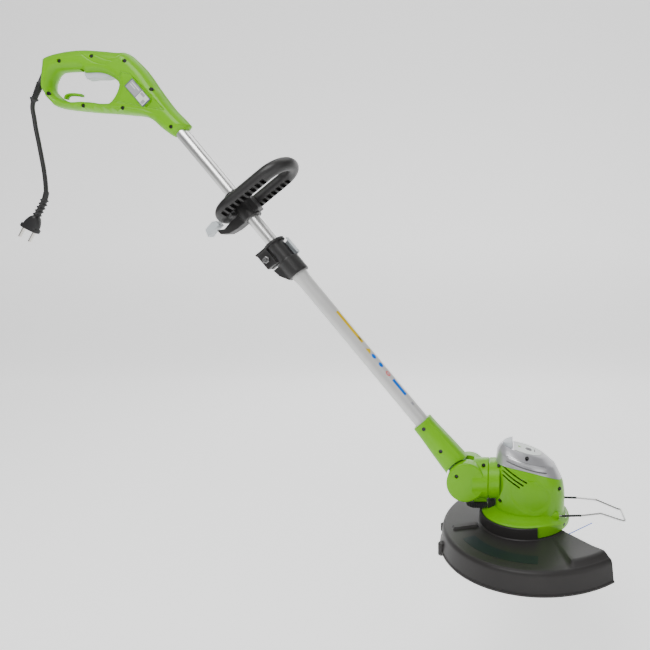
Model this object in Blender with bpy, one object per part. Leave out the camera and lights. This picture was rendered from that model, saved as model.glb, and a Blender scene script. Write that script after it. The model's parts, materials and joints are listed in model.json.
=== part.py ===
"""Corded telescopic string trimmer, built as separate solids in metres, +Z up.

The spool axis is Z, the underside of the bump cap is Z = 0, +X points forward over the
wire guide and the shaft rises towards -X in the XZ plane.
"""
from math import cos, pi, radians, sin, sqrt

import bmesh
import bpy
from mathutils import Matrix, Vector
from mathutils.geometry import interpolate_bezier

MM = 0.001
GAP = 0.0003

# Driving dimensions, in metres.
PIVOT = Vector((-0.101, 0.0, 0.117))
SHAFT_ANGLE = radians(50.3)
UPPER_TUBE_R = 0.011
LOWER_TUBE_R = 0.0125
TUBE_WALL = 0.0011
SOCKET_TOP = 0.122
DRUM_R = 0.0322
DRUM_HALF = 0.031
TONGUE_HALF = 0.009
NECK_R = 0.033
NECK_Z = 0.1145
SWIVEL_X = -0.0628
COLLAR_BOTTOM = 0.454
COLLAR_TOP = 0.524
UPPER_TUBE_BOTTOM = 0.250
UPPER_TUBE_TOP = 0.835
AUX_T = 0.6105
AUX_HALF = 0.0344
AUX_HINGE_U = -0.034
AUX_TIP_U = 0.108
AUX_BAR_R = 0.012
HANDLE_HALF = 0.017
HANDLE_ROUND = 0.006
BODY_X = 0.0075
BODY_AX = 0.0590
BODY_AY = 0.0515
BODY_WALL = 0.0028
FOOT_Z = 0.068
FLANGE_R = 0.0755
FLANGE_TOP = 0.0645
FLANGE_BOTTOM = 0.046
FLOOR_TOP = 0.0600
GUARD_X = 0.0246
GUARD_CREASE_R = 0.1655
GUARD_RIM_R = 0.1697
GUARD_RIM_Z = 0.012
GUARD_CREASE_Z = 0.0425
GUARD_WALL = 0.0028
GUARD_MIDDLE_R = 0.125
GUARD_RIDGE_R = 0.150
WEDGE_PART = 0.133
GUARD_START = radians(-52)
GUARD_SWEEP = radians(180)
COLLAR_END = radians(-95)
CABLE_R = 0.0032
LINE_R = 0.0008
GUIDE_R = 0.0013
GUIDE_Z = 0.0643
GUIDE_Y = 0.0355

UP = Vector((-cos(SHAFT_ANGLE), 0.0, sin(SHAFT_ANGLE)))
SIDE = Vector((sin(SHAFT_ANGLE), 0.0, cos(SHAFT_ANGLE)))
ACROSS = Vector((0.0, 1.0, 0.0))


# Frames and outlines

def frame(origin, x_axis, y_axis, z_axis):
    """Matrix whose columns are the given axes, placed at origin."""
    columns = [Vector(axis).to_4d() for axis in (x_axis, y_axis, z_axis)]
    for column in columns:
        column.w = 0.0
    matrix = Matrix.Identity(4)
    for index, column in enumerate(columns):
        matrix.col[index] = column
    matrix.translation = Vector(origin)
    return matrix


SHAFT = frame(PIVOT, SIDE, ACROSS, UP)
WORLD = Matrix.Identity(4)


def on_shaft(t, u=0.0, y=0.0):
    """Point t along the shaft from the pivot, u to its upper side and y across."""
    return PIVOT + UP * t + SIDE * u + ACROSS * y


def along_y(x, z, y=0.0):
    """Frame whose Z axis is world Y, so that a turned profile lies along Y."""
    return frame((x, y, z), (0, 0, 1), (1, 0, 0), (0, 1, 0))


def along_x(x, z, y=0.0):
    """Frame whose Z axis is world X."""
    return frame((x, y, z), (0, 1, 0), (0, 0, 1), (1, 0, 0))


def mm(points):
    return [tuple(value * MM for value in point) for point in points]


def ellipse(center, ax, ay, z, slope=0.0, count=40, power=2.0):
    """Ring of points on an oval whose height changes with x by the slope."""
    ring = []
    for index in range(count):
        angle = 2 * pi * index / count
        cx, sy = cos(angle), sin(angle)
        px = ax * abs(cx) ** (2 / power) * (1 if cx >= 0 else -1)
        py = ay * abs(sy) ** (2 / power) * (1 if sy >= 0 else -1)
        ring.append(Vector((center + px, py, z + slope * px)))
    return ring


def smooth_path(points, per_span=6):
    """Points on a Catmull-Rom curve through the given points."""
    route = [Vector(point) for point in points]
    path = []
    for index in range(len(route) - 1):
        before = route[max(index - 1, 0)]
        start, end = route[index], route[index + 1]
        after = route[min(index + 2, len(route) - 1)]
        span = interpolate_bezier(
            start, start + (end - before) / 6, end - (after - start) / 6, end, per_span + 1)
        path.extend(span[:-1])
    path.append(route[-1])
    return path


# Outlines, routes and hole places

HANDLE_OUTLINE = mm([
    (-829, 838), (-800, 847), (-764, 852), (-729, 850), (-703, 847), (-687, 847), (-672, 836),
    (-651, 814), (-630, 784), (-606, 752), (-583, 728), (-580, 719), (-600, 702), (-622, 714),
    (-648, 735), (-686, 741), (-751, 746), (-800, 752), (-812, 760), (-829, 777), (-835, 787),
    (-835, 800), (-833, 824)])
HANDLE_OPENING = mm([
    (-811, 803), (-805, 812), (-793, 816), (-762, 817), (-729, 817), (-716, 809), (-704, 791),
    (-720, 761), (-753, 763), (-781, 762), (-797, 768), (-812, 781), (-814, 792)])
HANDLE_SCREWS = mm([(-793, 829), (-738, 837), (-682, 829), (-637, 781), (-812, 774),
                    (-752, 753), (-685, 749), (-603, 717)])
TRIGGER_PIVOT = (-0.712, 0.0, 0.8195)
XZ = frame((0, 0, 0), (1, 0, 0), (0, 0, 1), (0, 1, 0))

CORD_EXIT = Vector((-0.8385, 0.0, 0.7960))
CORD_DOWN = Vector((-0.38, 0.0, -0.925)).normalized()
CORD_START = CORD_EXIT + CORD_DOWN * 0.0338
CORD_ROUTE = [CORD_START] + [Vector(point) for point in mm([
    (-852.5, 0, 756), (-852, 0, 748), (-850, 0, 738), (-848.5, 0, 728), (-846.5, 0, 716),
    (-844, 0, 704), (-841.5, 0, 692), (-839, 0, 679), (-836.5, 0, 666), (-834, 0, 653),
    (-832, 0, 640), (-830.5, 0, 628), (-829.5, 0, 616), (-829.2, 0, 606)])]
PLUG_TOP = CORD_ROUTE[-1] + Vector((0, 0, -0.0020))
PLUG_FACE = PLUG_TOP + Vector((-0.0285, 0.0, -0.0610))

GREEN_VENTS = [((-0.038, 0.145), (0.001, 0.1235)), ((-0.038, 0.138), (-0.005, 0.119)),
               ((-0.038, 0.131), (-0.011, 0.1155))]
SILVER_VENTS = [((-0.032, 0.1605), (0.034, 0.1415)), ((-0.033, 0.1535), (0.035, 0.1335))]
HOUSING_SCREWS = mm([(-44, 134), (-42, 88), (50, 101), (58, 79)])
SOCKET_SCREWS = mm([(-173, 203), (-144, 166)])

LINE_Z = 0.028
LINE_ANGLE = radians(-58)
LINE_EXIT = frame((0, 0, LINE_Z), (0, 0, 1), (-sin(LINE_ANGLE), cos(LINE_ANGLE), 0),
                  (cos(LINE_ANGLE), sin(LINE_ANGLE), 0))
LINE_ROUTE = [Vector((0.0375 * cos(LINE_ANGLE), 0.0375 * sin(LINE_ANGLE), LINE_Z)),
              Vector((0.0440 * cos(LINE_ANGLE), 0.0440 * sin(LINE_ANGLE), LINE_Z)),
              Vector((0.0400, -0.0405, LINE_Z)), Vector((0.0695, -0.0250, LINE_Z)),
              Vector((0.0960, -0.0030, LINE_Z)), Vector((0.1170, 0.0150, LINE_Z))]


# Meshes

def new_mesh():
    return bmesh.new()


def loft(bm, rings, closed=False):
    """Skin between rings of equal counts; the ends are capped unless closed."""
    rows = [[bm.verts.new(point) for point in ring] for ring in rings]
    count = len(rows[0])
    spans = len(rows) if closed else len(rows) - 1
    for index in range(spans):
        low, high = rows[index], rows[(index + 1) % len(rows)]
        for step in range(count):
            after = (step + 1) % count
            bm.faces.new((low[step], low[after], high[after], high[step]))
    if not closed:
        bm.faces.new(list(reversed(rows[0])))
        bm.faces.new(rows[-1])
    return bm


def lathe(bm, profile, matrix=WORLD, steps=32):
    """Turn a closed (radius, height) outline about the Z axis of the matrix."""
    outline = [bm.verts.new(matrix @ Vector((r, 0.0, h))) for r, h in profile]
    edges = [bm.edges.new((outline[i], outline[(i + 1) % len(outline)]))
             for i in range(len(outline))]
    geometry = outline + edges
    axis = matrix.to_3x3() @ Vector((0, 0, 1))
    bmesh.ops.spin(bm, geom=geometry, cent=matrix.translation, axis=axis, angle=2 * pi,
                   steps=steps, use_merge=True, use_duplicate=False)
    bmesh.ops.remove_doubles(bm, verts=bm.verts, dist=1e-6)
    bmesh.ops.dissolve_degenerate(bm, edges=bm.edges, dist=1e-6)
    loose = [edge for edge in bm.edges if not edge.link_faces]
    bmesh.ops.delete(bm, geom=loose, context="EDGES")
    return bm


def rod(bm, radius, low, high, matrix=WORLD, steps=24, chamfer=0.0):
    """Plain round bar between two heights, with chamfered ends."""
    profile = [(0, low), (radius - chamfer, low), (radius, low + chamfer),
               (radius, high - chamfer), (radius - chamfer, high), (0, high)]
    if not chamfer:
        profile = [(0, low), (radius, low), (radius, high), (0, high)]
    return lathe(bm, profile, matrix, steps)


def ring(bm, inner, outer, low, high, matrix=WORLD, steps=32):
    """Plain bush between two heights."""
    return lathe(bm, [(inner, low), (outer, low), (outer, high), (inner, high)], matrix, steps)


def slab(bm, outlines, low, high, matrix=WORLD):
    """Flat outline (the first, with the others as holes) extruded along the matrix's Z."""
    edges = []
    for outline in outlines:
        loop = [bm.verts.new(matrix @ Vector((x, y, low))) for x, y in outline]
        for index, vert in enumerate(loop):
            edges.append(bm.edges.new((vert, loop[(index + 1) % len(loop)])))
    filled = bmesh.ops.triangle_fill(bm, edges=edges, use_beauty=True, use_dissolve=False)
    faces = [item for item in filled["geom"] if isinstance(item, bmesh.types.BMFace)]
    raised = bmesh.ops.extrude_face_region(bm, geom=faces, use_keep_orig=True)
    verts = [item for item in raised["geom"] if isinstance(item, bmesh.types.BMVert)]
    offset = matrix.to_3x3() @ Vector((0, 0, high - low))
    bmesh.ops.translate(bm, verts=verts, vec=offset)
    return bm


def block(bm, low, high, matrix=WORLD):
    """Box between two corners of the matrix's frame."""
    (x0, y0, z0), (x1, y1, z1) = low, high
    return slab(bm, [[(x0, y0), (x1, y0), (x1, y1), (x0, y1)]], z0, z1, matrix)


def sweep(bm, path, radius, sides=10, closed=False, squash=1.0, normal=ACROSS):
    """Round bar along a path; squash flattens it along the given normal."""
    rings = []
    count = len(path)
    side = Vector(normal)
    for index, point in enumerate(path):
        ahead = path[(index + 1) % count] if closed or index < count - 1 else point
        behind = path[index - 1] if closed or index > 0 else point
        tangent = (Vector(ahead) - Vector(behind)).normalized()
        side = (side - tangent * side.dot(tangent)).normalized()
        other = tangent.cross(side)
        size = radius(index / (count - 1)) if callable(radius) else radius
        rings.append([Vector(point) + side * cos(2 * pi * k / sides) * size * squash
                      + other * sin(2 * pi * k / sides) * size for k in range(sides)])
    return loft(bm, rings, closed)


# Objects, materials and cuts

def material(name, color, roughness, metallic=0.0):
    made = bpy.data.materials.new(name)
    made.use_nodes = True
    shader = made.node_tree.nodes["Principled BSDF"]
    shader.inputs["Base Color"].default_value = (*color, 1.0)
    shader.inputs["Roughness"].default_value = roughness
    shader.inputs["Metallic"].default_value = metallic
    made.diffuse_color = (*color, 1.0)
    return made


FINISHES = {
    "green": ((0.27, 0.75, 0.0), 0.3, 0.0),
    "black": ((0.045, 0.043, 0.043), 0.45, 0.0),
    "charcoal": ((0.05, 0.048, 0.048), 0.4, 0.0),
    "pale_grey": ((0.72, 0.77, 0.79), 0.4, 0.0),
    "silver": ((0.55, 0.55, 0.57), 0.3, 0.3),
    "aluminium": ((0.72, 0.72, 0.72), 0.3, 0.9),
    "steel": ((0.5, 0.5, 0.5), 0.3, 1.0),
    "copper": ((0.7, 0.32, 0.12), 0.35, 1.0),
    "rubber": ((0.02, 0.02, 0.02), 0.6, 0.0),
    "label": ((0.75, 0.78, 0.76), 0.35, 0.0),
    "line": ((0.25, 0.45, 0.9), 0.35, 0.0),
    "brass": ((0.75, 0.6, 0.3), 0.3, 1.0),
}


def add(name, bm, finish, origin=(0, 0, 0)):
    """Object from a bmesh in world coordinates, with its origin on the given point."""
    bmesh.ops.recalc_face_normals(bm, faces=bm.faces)
    bmesh.ops.translate(bm, verts=bm.verts, vec=-Vector(origin))
    mesh = bpy.data.meshes.new(name)
    bm.to_mesh(mesh)
    bm.free()
    mesh.shade_smooth()
    mesh.set_sharp_from_angle(angle=radians(30))
    made = bpy.data.objects.new(name, mesh)
    made.location = origin
    bpy.context.scene.collection.objects.link(made)
    made.data.materials.append(material(name + "_" + finish, *FINISHES[finish]))
    return made


def cutter(name, bm):
    """Hidden object that only cuts others."""
    made = add(name, bm, "steel")
    made.hide_render = True
    made.display_type = "WIRE"
    return made


def apply_boolean(target, tool, operation="DIFFERENCE"):
    modifier = target.modifiers.new(tool.name, "BOOLEAN")
    modifier.operation = operation
    modifier.solver = "EXACT"
    modifier.object = tool


def clear_scene():
    for item in list(bpy.data.objects):
        bpy.data.objects.remove(item, do_unlink=True)


# Rear handle

def handle_shell(name, side):
    """Half of the closed D handle, split on the shaft's plane, hollow for what it holds."""
    low, high = sorted((side * GAP / 2, side * HANDLE_HALF))
    shell = add(name, slab(new_mesh(), [HANDLE_OUTLINE, HANDLE_OPENING], low, high, XZ), "green")
    modifier = shell.modifiers.new("round", "BEVEL")
    modifier.width = HANDLE_ROUND
    modifier.segments = 1
    modifier.limit_method = "WEIGHT"
    weights = shell.data.attributes.new("bevel_weight_edge", "FLOAT", "EDGE")
    for edge in shell.data.edges:
        ends = [shell.data.vertices[index].co.y for index in edge.vertices]
        outer = all(abs(abs(y) - HANDLE_HALF) < 1e-5 for y in ends)
        weights.data[edge.index].value = 1.0 if outer and is_rim(shell, edge) else 0.0
    return shell


def is_rim(shell, edge):
    """True when the edge lies on the outline and not inside the flat face."""
    a, b = (shell.data.vertices[index].co for index in edge.vertices)
    for outline in (HANDLE_OUTLINE, HANDLE_OPENING):
        for index, (x, z) in enumerate(outline):
            nx, nz = outline[(index + 1) % len(outline)]
            ends = {(round(x, 4), round(z, 4)), (round(nx, 4), round(nz, 4))}
            if {(round(a.x, 4), round(a.z, 4)), (round(b.x, 4), round(b.z, 4))} == ends:
                return True
    return False


def handle_cutters():
    """Hollows inside the handle: tube socket, switch bay, cord bore and screw holes."""
    tube = cutter("cut_handle_tube", rod(
        new_mesh(), UPPER_TUBE_R + GAP, 0.70, UPPER_TUBE_TOP + 0.001, SHAFT))
    bay_outline = mm([(-765, 798), (-704, 798), (-704, 814.5), (-706, 816.5), (-706, 835), (-765, 835)])
    bay = cutter("cut_switch_bay", slab(new_mesh(), [bay_outline], -0.0085, 0.0085, XZ))
    into = frame(CORD_EXIT, (0, 1, 0), CORD_DOWN.cross(ACROSS), -CORD_DOWN)
    cord = cutter("cut_cord_bore", rod(new_mesh(), 0.0062, -0.012, 0.022, into))
    recesses = new_mesh()
    outside = -HANDLE_HALF - 0.001
    stepped = [(0, outside), (0.0037, outside), (0.0037, -0.0125), (0.0019, -0.0125), (0.0019, 0.009), (0, 0.009)]
    for x, z in HANDLE_SCREWS:
        lathe(recesses, stepped, along_y(x, z), 12)
    return tube, bay, cord, recesses


def screw(name, x, z, head_y, tip_y, head_r=0.0034, shank_r=0.0016):
    """Pan-head screw whose axis is parallel to Y."""
    way = 1 if tip_y > head_y else -1
    profile = [(0, head_y), (head_r, head_y), (head_r, head_y + way * 0.0018),
               (shank_r, head_y + way * 0.0022), (shank_r, tip_y), (0, tip_y)]
    return add(name, lathe(new_mesh(), profile, along_y(x, z), 10), "steel")


def build_handle():
    shells = [handle_shell("handle_shell_left", -1), handle_shell("handle_shell_right", 1)]
    tube, bay, cord, recesses = handle_cutters()
    pockets = cutter("cut_handle_screws", recesses)
    for shell in shells:
        for tool in (tube, bay, cord, pockets):
            apply_boolean(shell, tool)
    for index, (x, z) in enumerate(HANDLE_SCREWS):
        screw(f"handle_screw_{index + 1}", x, z, -0.0155, -0.0120 if index == 7 else 0.0075)
    trigger_outline = mm([(-757, 819), (-757, 808), (-753, 801), (-739, 803), (-722, 803),
                          (-711, 806), (-708, 812), (-709, 821), (-716, 823.5), (-735, 823.5)])
    trigger = add("switch_trigger", slab(new_mesh(), [trigger_outline], -0.0075, 0.0075, XZ),
                  "pale_grey", TRIGGER_PIVOT)
    pin_hole = cutter("cut_trigger_pin", rod(
        new_mesh(), 0.0018, -0.01, 0.01, along_y(TRIGGER_PIVOT[0], TRIGGER_PIVOT[2]), 16))
    apply_boolean(trigger, pin_hole)
    add("trigger_pivot_pin", rod(
        new_mesh(), 0.0015, -0.0082, 0.0082, along_y(TRIGGER_PIVOT[0], TRIGGER_PIVOT[2]), 14), "steel")
    add("micro_switch", block(
        new_mesh(), (-0.745, 0.8285, -0.006), (-0.722, 0.8345, 0.006), XZ), "black")
    turns, per_turn = 3, 8
    coil = [Vector((-0.752 + 0.0028 * cos(2 * pi * k / per_turn), 0.0028 * sin(2 * pi * k / per_turn),
                    0.8265 + 0.0065 * k / (turns * per_turn))) for k in range(turns * per_turn + 1)]
    add("trigger_spring", sweep(new_mesh(), coil, 0.0004, 5, normal=(0, 0, 1)), "steel")
    hook_path = smooth_path(mm([(-793.5, 0, 768), (-792, 0, 773.5), (-786, 0, 776), (-777, 0, 776),
                                (-766, 0, 774.5)]), 3)
    add("cord_retainer_hook", sweep(new_mesh(), hook_path, 0.0028, 10, squash=1.9), "green")
    label = mm([(-668, 799), (-638, 764), (-650, 750), (-681, 786)])
    add("rating_label", slab(new_mesh(), [label], -HANDLE_HALF - 0.0009, -HANDLE_HALF - GAP, XZ), "label")


def build_cord():
    relief = frame(CORD_EXIT, (0, 1, 0), CORD_DOWN.cross(Vector((0, 1, 0))), CORD_DOWN)
    profile = [(0, -0.020), (0.0044, -0.020), (0.0044, -0.002), (0.0056, 0.0008), (0.0042, 0.0275),
               (0.0060, 0.0285), (0.0060, 0.0308), (0.0042, 0.0326), (0, 0.0326)]
    add("cord_strain_relief", lathe(new_mesh(), profile, relief, 16), "rubber")
    curve = bpy.data.curves.new("power_cord", "CURVE")
    curve.dimensions = "3D"
    curve.bevel_depth = CABLE_R
    curve.bevel_resolution = 2
    curve.use_fill_caps = True
    path = smooth_path(CORD_ROUTE, 1)
    spline = curve.splines.new("POLY")
    spline.points.add(len(path) - 1)
    for point, place in zip(spline.points, path):
        point.co = (*place, 1.0)
    cord = bpy.data.objects.new("power_cord", curve)
    bpy.context.scene.collection.objects.link(cord)
    curve.materials.append(material("power_cord_rubber", *FINISHES["rubber"]))
    build_plug()


def build_plug():
    """Flat two-pin plug with a ribbed neck, hanging tilted from the cord's end."""
    spine = smooth_path([PLUG_TOP, PLUG_TOP + Vector((-0.004, 0, -0.014)),
                         PLUG_TOP + Vector((-0.0105, 0, -0.027)), PLUG_FACE], 6)
    count = len(spine)

    def width(part):
        if part < 0.45:
            return 0.0045 + 0.003 * part
        if part < 0.95:
            return 0.006 + 0.0095 * sin((part - 0.45) / 0.5 * pi / 2)
        return 0.0178

    rings = []
    for index, point in enumerate(spine):
        tangent = (spine[min(index + 1, count - 1)] - spine[max(index - 1, 0)]).normalized()
        side = tangent.cross(ACROSS).normalized()
        wide = width(index / (count - 1))
        deep = min(wide, 0.0068)
        rings.append([point + side * cos(2 * pi * k / 14) * wide + ACROSS * sin(2 * pi * k / 14) * deep
                      for k in range(14)])
    add("plug_body", loft(new_mesh(), rings), "rubber")
    tangent = (spine[-1] - spine[-2]).normalized()
    side = tangent.cross(ACROSS).normalized()
    for name, way in (("plug_pin_left", -1), ("plug_pin_right", 1)):
        base = spine[-1] + side * way * 0.0095 + tangent * GAP
        pin = frame(base, side, ACROSS, tangent)
        add(name, rod(new_mesh(), 0.0024, 0, 0.0185, pin, 14, 0.0008), "brass")


# Shaft: tubes, auxiliary handle and telescopic collar

def build_tubes():
    add("upper_tube", ring(new_mesh(), UPPER_TUBE_R - TUBE_WALL, UPPER_TUBE_R, UPPER_TUBE_BOTTOM,
                           UPPER_TUBE_TOP, SHAFT, 32), "aluminium")
    inner = UPPER_TUBE_R + GAP
    flare = LOWER_TUBE_R + 0.0015
    profile = [(inner, 0.048), (LOWER_TUBE_R, 0.048), (LOWER_TUBE_R, 0.44), (flare, 0.452),
               (flare, 0.468), (inner, 0.468)]
    add("lower_tube", lathe(new_mesh(), profile, SHAFT, 32), "aluminium")


def build_telescope_collar():
    inner = UPPER_TUBE_R + GAP
    flare = LOWER_TUBE_R + 0.0015 + GAP
    profile = [(flare, COLLAR_BOTTOM), (0.0182, COLLAR_BOTTOM), (0.0188, 0.457), (0.0188, 0.485),
               (0.0150, 0.4852), (0.0150, 0.519), (0.0192, 0.5195), (0.0192, COLLAR_TOP),
               (inner, COLLAR_TOP), (inner, 0.4685), (flare, 0.4685)]
    collar = add("telescope_collar", lathe(new_mesh(), profile, SHAFT, 32), "black")
    ears = [
        block(new_mesh(), (-0.034, -0.0135, 0.5200), (-0.0125, 0.0135, 0.5236), SHAFT),
        block(new_mesh(), (-0.033, -0.0125, 0.491), (-0.0130, -0.0025, 0.5210), SHAFT),
        block(new_mesh(), (-0.033, 0.0025, 0.491), (-0.0130, 0.0125, 0.5210), SHAFT),
        loft(new_mesh(), [[on_shaft(0.484, -0.0275, y), on_shaft(0.470, -0.0255, y),
                           on_shaft(0.4545, -0.0170, y), on_shaft(0.4545, -0.0150, y),
                           on_shaft(0.484, -0.0150, y)] for y in (-0.011, 0.011)])]
    for index, mesh in enumerate(ears):
        apply_boolean(collar, cutter(f"add_collar_{index}", mesh), "UNION")
    apply_boolean(collar, cutter("cut_collar_bolt", rod(
        new_mesh(), 0.0028, -0.02, 0.02, frame(on_shaft(0.505, -0.0235), SIDE, -UP, ACROSS), 16)))
    bolt = frame(on_shaft(0.505, -0.0235), SIDE, -UP, ACROSS)
    add("collar_bolt", lathe(new_mesh(), [(0, -0.019), (0.0025, -0.019), (0.0025, 0.0155), (0, 0.0155)],
                             bolt, 16), "steel")
    nut = [(0.0062 * cos(k * pi / 3), 0.0062 * sin(k * pi / 3)) for k in range(6)]
    hole = [(0.0028 * cos(k * pi / 6), 0.0028 * sin(k * pi / 6)) for k in range(12)]
    add("collar_nut", slab(new_mesh(), [nut, hole], -0.0173, -0.0128, bolt), "steel")
    add("collar_flip_lever", flip_lever(), "pale_grey", on_shaft(0.505, -0.0235, 0.0222))


def flip_lever():
    """Strip that wraps the far side of the collar from the bolt to the upper side."""
    route = [(-0.0275, 0.0222), (-0.020, 0.0222), (-0.010, 0.0225), (0.002, 0.0222),
             (0.012, 0.0195), (0.0195, 0.0135), (0.0228, 0.006), (0.0232, -0.002)]
    half = 0.0016
    rings = []
    for index, (u, y) in enumerate(route):
        ahead = route[min(index + 1, len(route) - 1)]
        behind = route[max(index - 1, 0)]
        along = Vector((ahead[0] - behind[0], ahead[1] - behind[1])).normalized()
        normal = Vector((-along.y, along.x)) * (0.0042 if index < 2 else half)
        corners = ((0.487, 1), (0.517, 1), (0.517, -1), (0.487, -1))
        rings.append([on_shaft(t, u + way * normal.x, y + way * normal.y) for t, way in corners])
    return loft(new_mesh(), rings)


def aux_loop_path(count=12):
    """Stadium-shaped centreline of the auxiliary handle, in the plane across the shaft."""
    low = AUX_HINGE_U + AUX_HALF
    high = AUX_TIP_U - AUX_HALF
    path = []
    for index in range(count):
        angle = -pi / 2 + pi * index / (count - 1)
        path.append(on_shaft(AUX_T, high + AUX_HALF * cos(angle), AUX_HALF * sin(angle)))
    for index in range(count):
        angle = pi / 2 + pi * index / (count - 1)
        path.append(on_shaft(AUX_T, low + AUX_HALF * cos(angle), AUX_HALF * sin(angle)))
    return path


def build_aux_handle():
    loop = add("aux_handle_loop", sweep(new_mesh(), aux_loop_path(), AUX_BAR_R, 12, True, normal=UP),
               "black", on_shaft(AUX_T, AUX_HINGE_U))
    loop.data.shade_smooth()
    inner = UPPER_TUBE_R + GAP
    base = add("aux_clamp_base", lathe(new_mesh(), [
        (inner, 0.579), (0.0165, 0.579), (0.0165, 0.634), (inner, 0.634)], SHAFT, 28), "black")
    keel = [(-0.014, 0.579), (-0.014, 0.5955), (-0.030, 0.5955), (-0.047, 0.5930), (-0.058, 0.600),
            (-0.0575, 0.5900), (-0.046, 0.582), (-0.030, 0.579)]
    keel_mesh = slab(new_mesh(), [keel], -0.010, 0.010, frame(PIVOT, SIDE, UP, -ACROSS))
    apply_boolean(base, cutter("add_aux_keel", keel_mesh), "UNION")
    post = block(new_mesh(), (0.006, -0.0105, 0.583), (0.0215, 0.0105, 0.630), SHAFT)
    apply_boolean(base, cutter("add_aux_post", post), "UNION")
    clear = rod(new_mesh(), inner, 0.57, 0.64, SHAFT, 28)
    apply_boolean(base, cutter("cut_aux_tube", clear))
    lever = [(-0.0495, 0.6045), (-0.0495, 0.6140), (-0.056, 0.6170), (-0.0735, 0.6135), (-0.0775, 0.6005),
             (-0.066, 0.6030), (-0.056, 0.6040)]
    add("aux_cam_lever", slab(new_mesh(), [lever], -0.0085, 0.0085, frame(PIVOT, SIDE, UP, -ACROSS)),
        "pale_grey", on_shaft(0.6095, -0.0535))


# Lower socket, tilt joint and neck


def build_socket():
    for name, side in (("shaft_socket_left", -1), ("shaft_socket_right", 1)):
        rings = []
        for t, half_u, half_y in ((SOCKET_TOP, 0.0172, 0.0172), (0.100, 0.0178, 0.0178),
                                  (0.060, 0.0205, 0.020), (0.020, 0.0222, 0.0215)):
            ring_points = []
            for index in range(15):
                angle = -pi / 2 + pi * index / 14
                bulge = half_y * cos(angle) ** 0.6 if abs(index - 7) < 7 else 0.0
                ring_points.append(on_shaft(t, half_u * sin(angle), side * (GAP / 2 + bulge)))
            rings.append(ring_points)
        socket = add(name, loft(new_mesh(), rings), "green")
        apply_boolean(socket, cutter("cut_bore_" + name, rod(
            new_mesh(), LOWER_TUBE_R + GAP, 0.0475, 0.13, SHAFT, 28)))
        apply_boolean(socket, cutter("cut_drum_" + name, rod(
            new_mesh(), DRUM_R + 0.0028, -0.04, 0.04, along_y(PIVOT.x, PIVOT.z), 40)))
        apply_boolean(socket, cutter("cut_tongue_" + name, block(
            new_mesh(), (-0.0165, -TONGUE_HALF - GAP, 0.015), (0.0165, TONGUE_HALF + GAP, 0.0472), SHAFT)))
        recess = new_mesh()
        for x, z in SOCKET_SCREWS:
            rod(recess, 0.0035, -0.03, -0.0150, along_y(x, z), 14)
        apply_boolean(socket, cutter("cut_screws_" + name, recess))
    for index, (x, z) in enumerate(SOCKET_SCREWS):
        screw(f"socket_screw_{index + 1}", x, z, -0.0176, -0.0153)
    tongue = add("pivot_tongue", rod(new_mesh(), 0.0235, -TONGUE_HALF, TONGUE_HALF,
                                     along_y(PIVOT.x, PIVOT.z), 32), "black")
    stem = block(new_mesh(), (-0.0150, -TONGUE_HALF, 0.010), (0.0150, TONGUE_HALF, 0.0468), SHAFT)
    apply_boolean(tongue, cutter("add_tongue_stem", stem), "UNION")
    apply_boolean(tongue, cutter("cut_tongue_bore", rod(
        new_mesh(), 0.0043, -0.02, 0.02, along_y(PIVOT.x, PIVOT.z), 20)))


def build_neck():
    neck = add("neck_knuckle", rod(new_mesh(), DRUM_R, -DRUM_HALF, DRUM_HALF,
                                   along_y(PIVOT.x, PIVOT.z), 32, 0.002), "green", PIVOT)
    barrel = ring(new_mesh(), 0.008, NECK_R, -0.090, SWIVEL_X - GAP, along_x(0, NECK_Z), 32)
    apply_boolean(neck, cutter("add_neck_barrel", barrel), "UNION")
    lug = block(new_mesh(), (-0.0885, -0.010, 0.0768), (-0.0665, 0.010, 0.0850))
    apply_boolean(neck, cutter("add_pedal_lug", lug), "UNION")
    pocket = rod(new_mesh(), 0.0240, -TONGUE_HALF - GAP, TONGUE_HALF + GAP,
                 along_y(PIVOT.x, PIVOT.z), 32)
    apply_boolean(neck, cutter("cut_tongue_pocket", pocket))
    fan = [(0.0, 0.0)] + [(0.060 * cos(radians(a)), 0.060 * sin(radians(a))) for a in range(68, 208, 14)]
    apply_boolean(neck, cutter("cut_stem_sweep", slab(
        new_mesh(), [fan], -TONGUE_HALF - GAP, TONGUE_HALF + GAP,
        frame(PIVOT, (1, 0, 0), (0, 0, 1), (0, -1, 0)))))
    bolt_way = along_y(PIVOT.x, PIVOT.z)
    apply_boolean(neck, cutter("cut_pivot_bolt", rod(new_mesh(), 0.0043, -0.0265, 0.04, bolt_way, 20)))
    screw_x, screw_z = -0.0715, 0.142
    apply_boolean(neck, cutter("cut_neck_screw", rod(
        new_mesh(), 0.0034, -0.04, -0.0165, along_y(screw_x, screw_z), 14)))
    add("pivot_bolt", lathe(new_mesh(), [(0, -0.0255), (0.004, -0.0255), (0.004, 0.0300), (0, 0.0300)],
                            bolt_way, 20), "steel")
    pedal = [(-0.1015, 0.0765), (-0.0655, 0.0765), (-0.0655, 0.072), (-0.072, 0.067), (-0.090, 0.067),
             (-0.100, 0.071)]
    add("foot_pedal", slab(new_mesh(), [pedal], -0.013, 0.013, XZ), "black", (-0.0655, 0.0, 0.0765))


# Motor head

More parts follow.
